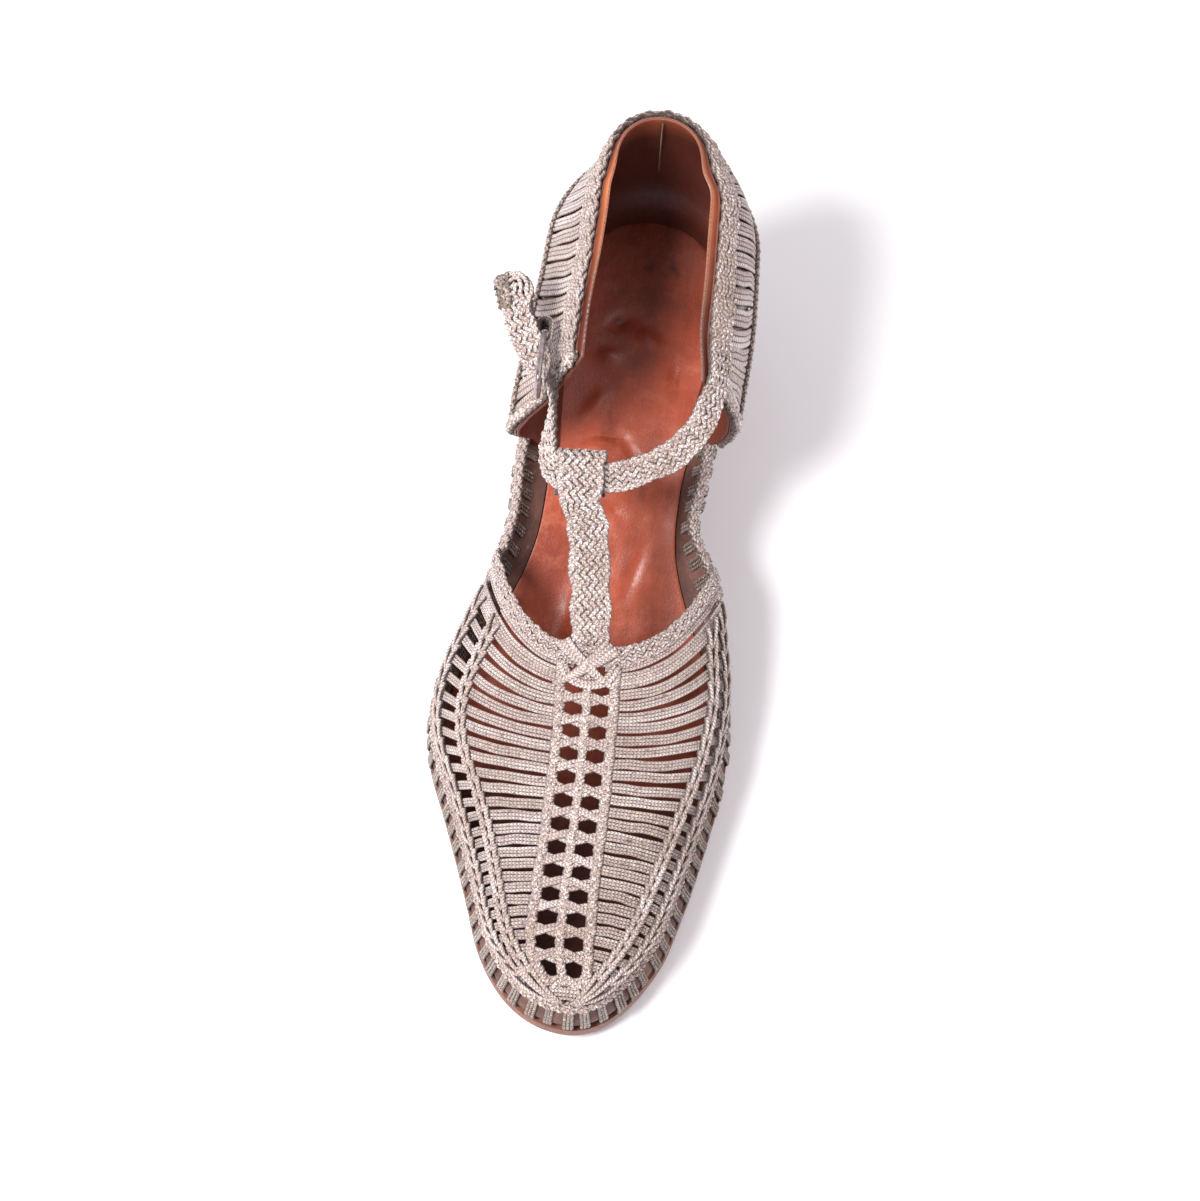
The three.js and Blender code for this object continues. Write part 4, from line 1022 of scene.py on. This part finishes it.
def make_lining():
    """The quarter's leather lining, whose edge shows inside the collar's plait, and its dark backing."""
    skin("quarter_lining", quarter_sheet(1.3, 0.4, 0.5), quarter_sheet(2.4, 0.4, 0.5), LINING, edge=0.45)
    backing = skin("quarter_backing", quarter_sheet(0.75, 1.2, -1.5), quarter_sheet(1.2, 1.2, -1.5), RAND, edge=0)
    backing.data.materials[0] = HEEL_HIDE
    seam = Skein()
    for level in np.linspace(0.25, 0.96, 26):
        spot, face = quarter_spot(np.array([-0.004, 0.004]), np.full(2, level), -2.5)
        path = lerp(spot[0], spot[1], np.linspace(0, 1, 5)[:, None]) + np.array([0, 0, 0.35]) * np.linspace(-1, 1, 5)[:, None]
        seam.cord(path, np.tile(-face[0], (5, 1)), 0.3, 0.25, sides=5)
    edge = Skein()
    for k in range(150):
        place = -0.98 + 1.96 * (k + 0.5) / 150
        spot = quarter_sheet_top(place, 1.85, 0.62)
        after = quarter_sheet_top(place + 0.008, 1.85, 0.62)
        edge.cord(lerp(spot, after, np.linspace(0, 1, 4)[:, None]), np.tile([0, 0, 1.0], (4, 1)), 0.36, 0.3, sides=5)
    seam.mesh("back_seam_stitches", THREAD)
    edge.mesh("collar_stitches", THREAD)


def quarter_sheet_top(place, depth, rise):
    side = np.array([-1.0 if place < 0 else 1.0])
    front = read(QUARTER_FRONT, "lateral" if place < 0 else "medial", 1.0) * QUARTER_LENGTH
    turn = turn_of(front / SOLE_LENGTH) * abs(place)
    along = along_of(turn)
    return rim_point(side, turn, wall_out(side, along, collar_height(along)) - depth, collar_height(along) + rise)[0]


# ---------------------------------------------------------------- cord pieces


def vamp_half(side, run):
    return np.abs(vamp_rim(side, run)[:, 0] - ridge_point(run)[:, 0])


def across_share(share):
    return 2 * np.arcsin(np.clip(share, 0, 0.9995)) / np.pi


def on_vamp(run, side, share, lift=0.0):
    """A point of the vamp at a share of the way from the ridge to the rim, and its outward face."""
    run, side, share, lift = np.broadcast_arrays(*[np.atleast_1d(np.asarray(v, float)) for v in (run, side, share, lift)])
    run = np.clip(run, -0.05, 0.998)
    across = side * across_share(share)
    face = facing(vamp_surface, run, across)
    return vamp_surface(run, across) + face * lift[:, None], face


def band_fit(side, run):
    """How much the lattice narrows near the toe."""
    inner = lerp(*(both(side, INNER_RIB[1][k], INNER_RIB[-1][k]) for k in (0, 1)), run)
    return np.minimum(1, 0.8 * inner * vamp_half(side, run) / BAND_HALF)


def beside_ridge(run, x, lift=0.0):
    """A point of the vamp at a distance from its middle line."""
    run, x, lift = np.broadcast_arrays(*[np.atleast_1d(np.asarray(v, float)) for v in (run, x, lift)])
    side = np.where(x < 0, -1.0, 1.0)
    reach = np.minimum(run, 1 - 0.3 * TOE_BAND)
    share = np.abs(x) * band_fit(side, reach) / vamp_half(side, reach)
    return on_vamp(run, side, share, lift)


def weave_row(period, share):
    return lerp(THROAT_BAND, 1 - TOE_BAND, np.maximum(0, (period + share) / WEAVE_PERIODS) ** PERIOD_GROWTH)


def rib_share(rib, side, run):
    return lerp(rib[side][0], rib[side][1], run)


BAR_TUCK = 1.9  # millimetres of each bar that go down behind the chain


def lay_bar(skein, row, side, from_share, to_share, cords, cord_width, spread, lift=0.0):
    """A flat bar of cords side by side, across one side of the vamp."""
    t = np.linspace(0, 1, max(6, int(26 * (to_share - from_share)) + 2))
    share = lerp(from_share, to_share, t)
    before, _ = on_vamp(row - 0.004, side, share)
    after, _ = on_vamp(row + 0.004, side, share)
    scale = np.linalg.norm(after - before, axis=1) / 0.008
    sway = wander(len(t), 0.12, 4)
    for k in range(cords):
        offset = (k - (cords - 1) / 2) * spread * lerp(1, 1.06, t) + sway + wander(len(t), 0.03, 3)
        path, face = on_vamp(row + offset / scale, side, share, lift + wander(len(t), 0.05, 3))
        if to_share == 1:
            path = np.vstack([path, path[-1] + BAR_TUCK * unit(path[-1] - path[-2])])
            face = np.vstack([face, face[-1]])
        skein.cord(path, face, cord_width, 0.85 * cord_width)


def make_bars():
    """Bars of the vamp, from the lattice over the inner rib to the rim."""
    bars = Skein()
    for side in (-1, 1):
        for period in range(WEAVE_PERIODS):
            for share in (0.235, 0.765):
                row = float(weave_row(period, share))
                fit = float(band_fit(np.array([side]), np.array([row]))[0])
                start = fit * (BAND_HALF - 1.0) / float(vamp_half(np.array([side]), np.array([row]))[0])
                inner = rib_share(INNER_RIB, side, row)
                lay_bar(bars, row, side, start, inner, 3, 1.04, 0.94)
                lay_bar(bars, row, side, inner, 1.0, 3, 0.98, 0.86, -0.15)
        for row in (0.052, 0.082):
            lay_bar(bars, row, side, 0.12, rib_share(INNER_RIB, side, row), 3, 1.04, 0.94)
            lay_bar(bars, row, side, rib_share(INNER_RIB, side, row), 1.0, 3, 0.98, 0.86, -0.15)
    return bars.mesh("vamp_bars", CORD)


def make_ribs():
    """Chains of V-shaped stitches over the bars, one stitch a bar."""
    ribs = Skein()
    for side in (-1, 1):
        for rib, wide in ((INNER_RIB, 2.7), (OUTER_RIB, 2.5)):
            rows = [float(weave_row(p, s)) for p in range(WEAVE_PERIODS) for s in (0.0, 0.5)] + [0.985]
            for row, after in zip(rows[:-1], rows[1:]):
                length = after - row
                for hand in (-1, 1):
                    t = np.linspace(0, 1, 9)
                    run = row + length * lerp(-0.12, 1.3, t)
                    share = rib_share(rib, side, np.clip(run, 0, 1))
                    shift = hand * wide * (0.36 * (1 - t) ** 0.7 + 0.06)
                    half = vamp_half(np.full(len(t), float(side)), np.clip(run, 0, 0.98))
                    lift = 0.75 + 0.55 * np.sin(np.pi * t) - 0.35 * t
                    path, face = on_vamp(run, side, share + shift / half, lift)
                    ribs.cord(path, face, 0.62 * wide * (1 - 0.25 * t), 0.5 * wide, sides=7)
    return ribs.mesh("vamp_ribs", CORD)


def make_lattice():
    """The middle band: plaits down both flanks and the middle, tied across between the holes."""
    band = Skein()
    run = np.linspace(THROAT_BAND * 0.55, 0.965, 190)
    for middle, width in ((-6.75, 3.3), (0, 2.9), (6.75, 3.3)):
        path, face = beside_ridge(run, middle, -0.25)
        band.cord(path, face, width * 0.85, 0.7, tone=0.1)
        path, face = beside_ridge(run, middle + wander(len(run), 0.1), 0.3)
        plait(band, path, face, width, 4, 6.6, thickness=0.95, fill=1.3, drift=0.1)
    ties = ((-0.23, 0.07, 0), (-0.08, 0.22, 1), (0.08, -0.22, 2), (0.23, -0.07, 3))
    for period in range(WEAVE_PERIODS + 1):
        for side in (-1, 1):
            for start, end, k in ties:
                t = np.linspace(0, 1, 13)
                x = side * lerp(0.1, 6.7, t)
                row = weave_row(period, lerp(start, end, ease(t)) + RNG.normal(0, 0.012))
                lift = 0.2 + (0.4 if k < 2 else -0.15) * np.sin(np.pi * t) + 0.12 * k / 3
                path, face = beside_ridge(row, x, lift)
                band.cord(path, face, 1.4, 1.0)
    for row in np.linspace(0.945, 0.992, 7):
        x = np.linspace(-8.5, 8.5, 30)
        path, face = beside_ridge(np.full(len(x), row), x, 0.25 + wander(len(x), 0.08, 3))
        band.cord(path, face, 1.1, 0.95)
    return band.mesh("vamp_lattice", CORD)


def make_throat_border():
    """The thick plait along the throat and the knot at the T-strap's root."""
    border = Skein()
    across = np.linspace(-0.985, 0.985, 120)
    run = np.full(len(across), THROAT_BAND * 0.3)
    face = facing(vamp_surface, run, across)
    path, face = even_path(vamp_surface(run, across) + face * 0.35, face, 0.45)
    share = np.abs(np.linspace(-1, 1, len(path)))
    plait(border, path, face, lerp(6.2, 4.6, ease(share * 1.6)), 5, 15, ply=2, thickness=1.0, drift=0.18)
    for k in range(7):
        hand = 1 if k % 2 else -1
        t = np.linspace(0, 1, 14)
        row = lerp(0.0, 0.105, t) + (k - 3) * 0.004
        x = hand * lerp(-6.5, 6.8, t) * (0.7 + 0.08 * k) - 0.5
        path, face = beside_ridge(row, x, 1.0 + 0.8 * np.sin(np.pi * t) * (0.6 + 0.4 * (k % 3) / 2))
        border.cord(path, face, 1.7, 1.25, sides=8)
    for radius, lift in ((6.9, 1.1), (5.6, 1.3)):
        angle = np.linspace(0.1, math.pi - 0.1, 22)
        path, face = beside_ridge(0.05 + radius * 0.0085 * np.sin(angle), -radius * np.cos(angle), lift)
        border.cord(path, face, 1.6, 1.2, sides=8)
    return border.mesh("throat_border", CORD)


def make_t_strap():
    strap = Skein()
    points, faces = t_strap_path()
    path, face = even_path(points, faces, 0.45)
    length = spread_out(path) / spread_out(path)[-1]
    width = T_STRAP_WIDTH * (1 + 0.06 * np.sin(length * 40)) + 2.2 * ease((length - 0.62) / 0.12)
    plait(strap, path, face, width, 6, 24, ply=2, thickness=0.85, drift=0.16)
    return strap.mesh("t_strap_plait", CORD)


def make_ankle_strap():
    strap = Skein()
    at = np.linspace(0.03, 1, 60)
    root, root_face = quarter_spot(np.array([0.8, 0.9, 0.97]), np.array([0.9, 0.9, 0.92]), np.array([0.3, 0.9, 1.3]))
    points, faces = np.concatenate([root, ankle_path(at)]), np.concatenate([root_face, ankle_face(at)])
    path, face = even_path(points, faces, 0.45)
    length = spread_out(path) / spread_out(path)[-1]
    loose = ease((length - 0.76) / 0.06)
    swell = ease((length - 0.9) / 0.08)
    up = unit(lerp(face, np.array([-0.45, -0.35, 0.82]), (0.9 * loose)[:, None]))
    width = ANKLE_STRAP_WIDTH * (1 + 0.04 * np.sin(length * 60)) + 1.2 * loose + 1.0 * swell
    plait(strap, path, up, width, 5, 17, ply=2, thickness=0.95, drift=0.12)
    piece = strap.mesh("ankle_strap_plait", CORD)
    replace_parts(piece, "ankle_strap")
    tip = Skein()
    end = length > 0.86
    under = path[end] - up[end] * 1.6 + np.array([0, 0.8, -0.3])
    plait(tip, under, up[end], width[end] * 0.85, 4, 14, ply=2, thickness=1.1, drift=0.2)
    end = length > 0.965
    over = path[end] + up[end] * 0.9
    plait(tip, over, up[end], width[end] * 0.92, 5, 12, ply=2, thickness=1.0, drift=0.25)
    tip.mesh("strap_tip_cords", WORN_CORD)


def quarter_spot(place, level, lift):
    place, level, lift = np.broadcast_arrays(*[np.atleast_1d(np.asarray(v, float)) for v in (place, level, lift)])
    face = facing(quarter_wall, place, level, -1)
    return quarter_wall(place, level) + face * lift[:, None], face


def make_quarter():
    """Slanted bars of cord on the quarter, the rib that ties them and the collar's plait."""
    wall = Skein()
    span = QUARTER_BACK_HEIGHT - WALL_START
    band = COLLAR_BAND / span
    for k in range(QUARTER_STRIPS):
        place = -1 + (2 * k + 1) / QUARTER_STRIPS
        towards = -1 if place < 0 else 1
        fade = float(ease((1 - abs(place)) / 0.2) * ease(abs(place) / 0.4))
        t = np.linspace(0, 1, 30)
        level = lerp(0.0, 1 - band * 0.6, t)
        slant = towards * STRIP_SLANT * (level - 0.36) / QUARTER_LENGTH * fade
        sway = wander(len(t), 0.002, 6)
        line = np.clip(place + slant + sway, -0.999, 0.999)
        wide = np.linalg.norm(quarter_wall(line + 0.005, level) - quarter_wall(line - 0.005, level), axis=1) / 0.01
        cord_width = 0.86 * wide * (2 / QUARTER_STRIPS) / 3
        for j in range(3):
            path, face = quarter_spot(line + (j - 1) * cord_width / wide, level, 0.15 + wander(len(t), 0.05, 4))
            wall.cord(path, face, 1.12 * cord_width, 0.95)
    place = np.linspace(-0.995, 0.995, 420)
    for level, width, strands, pitch, lift in ((0.36, 2.4, 3, 7.5, 0.85),):
        path, face = quarter_spot(place, level, lift)
        path, face = even_path(path, face, 0.5)
        plait(wall, path, face, width, strands, pitch, thickness=0.8, fill=1.2)
    path, face = quarter_spot(place, 1 - 0.5 * band, 0.45)
    path, face = even_path(path, face, 0.45)
    plait(wall, path, face, COLLAR_BAND * 0.9, 5, 30, ply=2, thickness=0.95, drift=0.16)
    for place_at, inset in ((-0.992, 0), (0.992, 0)):
        level = np.linspace(-0.02, 1.0, 80)
        path, face = quarter_spot(np.full(len(level), place_at), level, 0.3)
        path, face = even_path(path, face, 0.5)
        plait(wall, path, face, 3.4, 3, 8, thickness=0.9, fill=1.2)
    piece = wall.mesh("quarter_cords", CORD)
    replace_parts(piece, "quarter")


def make_edge_chain():
    """The chain plait right round the shoe on the rand."""
    chain = Skein()
    side, turn = rim_stations(900)
    out = wall_out(side, along_of(turn), RAND_HEIGHT) - RAND_THICKNESS / 2
    path = rim_point(side, turn, out, PLAIT_CENTRE)
    outward = edge_normal(side, turn)
    face = unit(np.column_stack([outward, np.full(len(turn), 0.75)]))
    plait(chain, path, face, PLAIT_HEIGHT + 0.6, 3, 10.5, ply=2, thickness=1.2, sink=0.9, ring=True)
    piece = chain.mesh("edge_chain", CORD)
    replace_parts(piece, "edge_plait")


def make_rand_loops():
    """Loops of cord that come down from the chain over the rand to the sole."""
    loops = Skein()
    side, turn = rim_stations(2400)
    line = rim_point(side, turn, 0, 0)
    length = spread_out(line)
    count = int(length[-1] / 5.6)
    for k in range(count):
        at = (k + 0.5 + RNG.normal(0, 0.06)) / count * length[-1]
        swing = RNG.normal(0, 0.12)
        for j in (-1, 0, 1):
            spot = np.interp(at + j * (1.0 + 0.6 * swing), length, np.linspace(0, 2, len(length)))
            s = np.where(spot < 1, -1.0, 1.0)
            w = spot if spot < 1 else 2 - spot
            height = np.array([3.2, 4.4, RAND_HEIGHT - 0.3, RAND_HEIGHT + 1, RAND_HEIGHT, 4.2, 2.2, 0.4, -1.2, -2.3])
            stand = np.array([-2.3, -2.4, -2.1, -0.7, 0.9, 1.5, 1.8, 1.9, 1.5, 0.4]) + swing
            out = wall_out(s, along_of(w), np.maximum(0, height)) + stand
            path = rim_point(s, w, out, height)
            facing_out = edge_normal(np.full(1, s), np.full(1, w))[0]
            lean = np.array([-1, -1, -0.9, 0.05, 0.9, 1, 1, 1, 1, 1])[:, None]
            face = lean * np.array([facing_out[0], facing_out[1], 0]) + np.array([0, 0, 0.35])
            face[3] = (0, 0, 1)
            path, face = even_path(path, unit(face), 1.0)
            loops.cord(path, face, 1.12, 1.0)
    return loops.mesh("rand_loops", WORN_CORD)


def make_hairs():
    """Loose hairs worn off the straps, the collar, the quarter's front and the chain."""
    hairs = Skein()
    at = RNG.random(34) ** 0.6
    strap, strap_face = ankle_path(0.62 * at), ankle_face(0.62 * at)
    place = np.where(RNG.random(26) < 0.6, 0.985, -0.985)
    front, front_face = quarter_spot(place, RNG.random(26), 0.8)
    collar, collar_face = quarter_spot(RNG.uniform(-0.95, 0.95, 22), 0.97, 1.2)
    side, turn = rim_stations(400)
    pick = RNG.integers(0, len(turn), 60)
    side, turn = side[pick], turn[pick]
    chain = rim_point(side, turn, wall_out(side, along_of(turn), RAND_HEIGHT) + 0.6, PLAIT_CENTRE + 0.6)
    chain_face = np.column_stack([edge_normal(side, turn), np.full(len(turn), 0.75)])
    roots = np.concatenate([strap, front, collar, chain])
    ways = unit(np.concatenate([strap_face, front_face, collar_face, chain_face]))
    for root, way in zip(roots, ways):
        t = np.linspace(0, 1, 7)[:, None]
        heading = unit(RNG.normal(0, 1, 3) + 0.5 * way)
        path = root + t * heading * RNG.uniform(1.2, 2.6) + t**2 * RNG.normal(0, 0.7, 3)
        hairs.cord(path, np.tile(way, (len(t), 1)), 0.13 * (1.15 - t[:, 0]), 0.13 * (1.15 - t[:, 0]), sides=4)
    return hairs.mesh("worn_hairs", CORD)


def buckle_middle():
    return (ankle_path(0.7)[0] + ankle_path(0.77)[0]) / 2


def make_buckle():
    middle = buckle_middle()
    long, high, bend = (BUCKLE_LENGTH - BUCKLE_WIRE) / 2, (BUCKLE_WIDTH - BUCKLE_WIRE) / 2, 2
    path = []
    for sy, sz, start in ((1, 1, 0), (-1, 1, 1), (-1, -1, 2), (1, -1, 3)):
        for angle in (start + np.linspace(0, 1, 7)) * math.pi / 2:
            path.append([0, sy * (long - bend) + bend * math.cos(angle), sz * (high - bend) + bend * math.sin(angle)])
    path = np.array(path) + middle
    wire = Skein()
    wire.cord(path, np.tile([1.0, 0, 0], (len(path), 1)), BUCKLE_WIRE, BUCKLE_WIRE, sides=12, ring=True)
    piece = wire.mesh("buckle_frame", METAL)
    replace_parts(piece, "buckle")


def make_tab():
    """The plaited loop that holds the buckle."""
    middle = buckle_middle()
    hole = BUCKLE_WIRE / 2 + 1.4 * CLEARANCE
    centre = hole + TAB_THICKNESS / 2
    angle = np.linspace(0, 2 * math.pi, 40, endpoint=False)
    back = np.where(np.cos(angle) > 0, TAB_LENGTH - 2 * (hole + TAB_THICKNESS), 0)
    bar = middle[1] + (BUCKLE_LENGTH - BUCKLE_WIRE) / 2
    tab = Skein()
    for k in range(6):
        z = middle[2] + (k - 2.5) * TAB_WIDTH / 6
        path = np.column_stack([middle[0] + centre * np.sin(angle), bar + centre * np.cos(angle) + back, np.full(len(angle), z)])
        face = np.column_stack([np.sin(angle), np.cos(angle), 0 * angle])
        tab.cord(path, face, TAB_WIDTH / 6, TAB_THICKNESS, ring=True)
    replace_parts(tab.mesh("buckle_tab_cords", CORD), "buckle_tab")


make_outsole()
make_insole()
make_rand()
make_heel()
make_lining()
vamp = [make_bars(), make_ribs(), make_lattice(), make_throat_border(), make_t_strap()]
for piece in vamp:
    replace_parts(piece, "vamp_and_t_strap")
make_ankle_strap()
make_quarter()
make_edge_chain()
make_rand_loops()
make_hairs()
make_buckle()
make_tab()


# ---------------------------------------------------------------- stage, light and camera


def make_stage():
    bpy.ops.object.select_all(action="DESELECT")
    bpy.ops.mesh.primitive_plane_add(size=6, location=(0, 0, 0))
    floor = bpy.context.object
    floor.name = "floor"
    floor.data.materials.append(pale_floor())
    world = bpy.data.worlds.new("studio")
    bpy.context.scene.world = world
    world.use_nodes = True
    world.node_tree.nodes["Background"].inputs["Color"].default_value = (1.0, 0.98, 1.0, 1)
    world.node_tree.nodes["Background"].inputs["Strength"].default_value = 0.6


def softbox(name, place, aim, size, power, colour=(1, 1, 1)):
    light = bpy.data.lights.new(name, "AREA")
    light.shape = "DISK"
    light.size = size
    light.energy = power
    light.color = colour
    lamp = bpy.data.objects.new(name, light)
    bpy.context.collection.objects.link(lamp)
    lamp.location = place
    lamp.rotation_euler = (Vector(aim) - Vector(place)).to_track_quat("-Z", "Y").to_euler()


CAMERA_PLACE = Vector((0.013706, -0.567625, 1.045235))
CAMERA_AIM = Vector((-0.004, -0.088, 0.02))
CAMERA_ROLL = math.radians(4.1)
CAMERA_LENS = 117


def make_camera():
    camera = bpy.data.cameras.new("camera")
    camera.sensor_width = 36
    camera.sensor_fit = "HORIZONTAL"
    camera.lens = CAMERA_LENS
    camera.clip_start = 0.05
    holder = bpy.data.objects.new("camera", camera)
    bpy.context.collection.objects.link(holder)
    holder.location = CAMERA_PLACE
    turn = (CAMERA_AIM - CAMERA_PLACE).to_track_quat("-Z", "Y").to_matrix().to_4x4()
    from mathutils import Matrix

    holder.rotation_euler = (turn @ Matrix.Rotation(CAMERA_ROLL, 4, "Z")).to_euler()
    bpy.context.scene.camera = holder


make_stage()
softbox("key", (-0.68, -0.62, 1.25), (0, -0.1, 0.02), 0.55, 32)
softbox("fill", (0.7, 0.1, 1.2), (0, -0.1, 0.02), 1.0, 5.5, (1.0, 0.96, 0.97))
make_camera()
bpy.context.scene.view_settings.view_transform = "Standard"
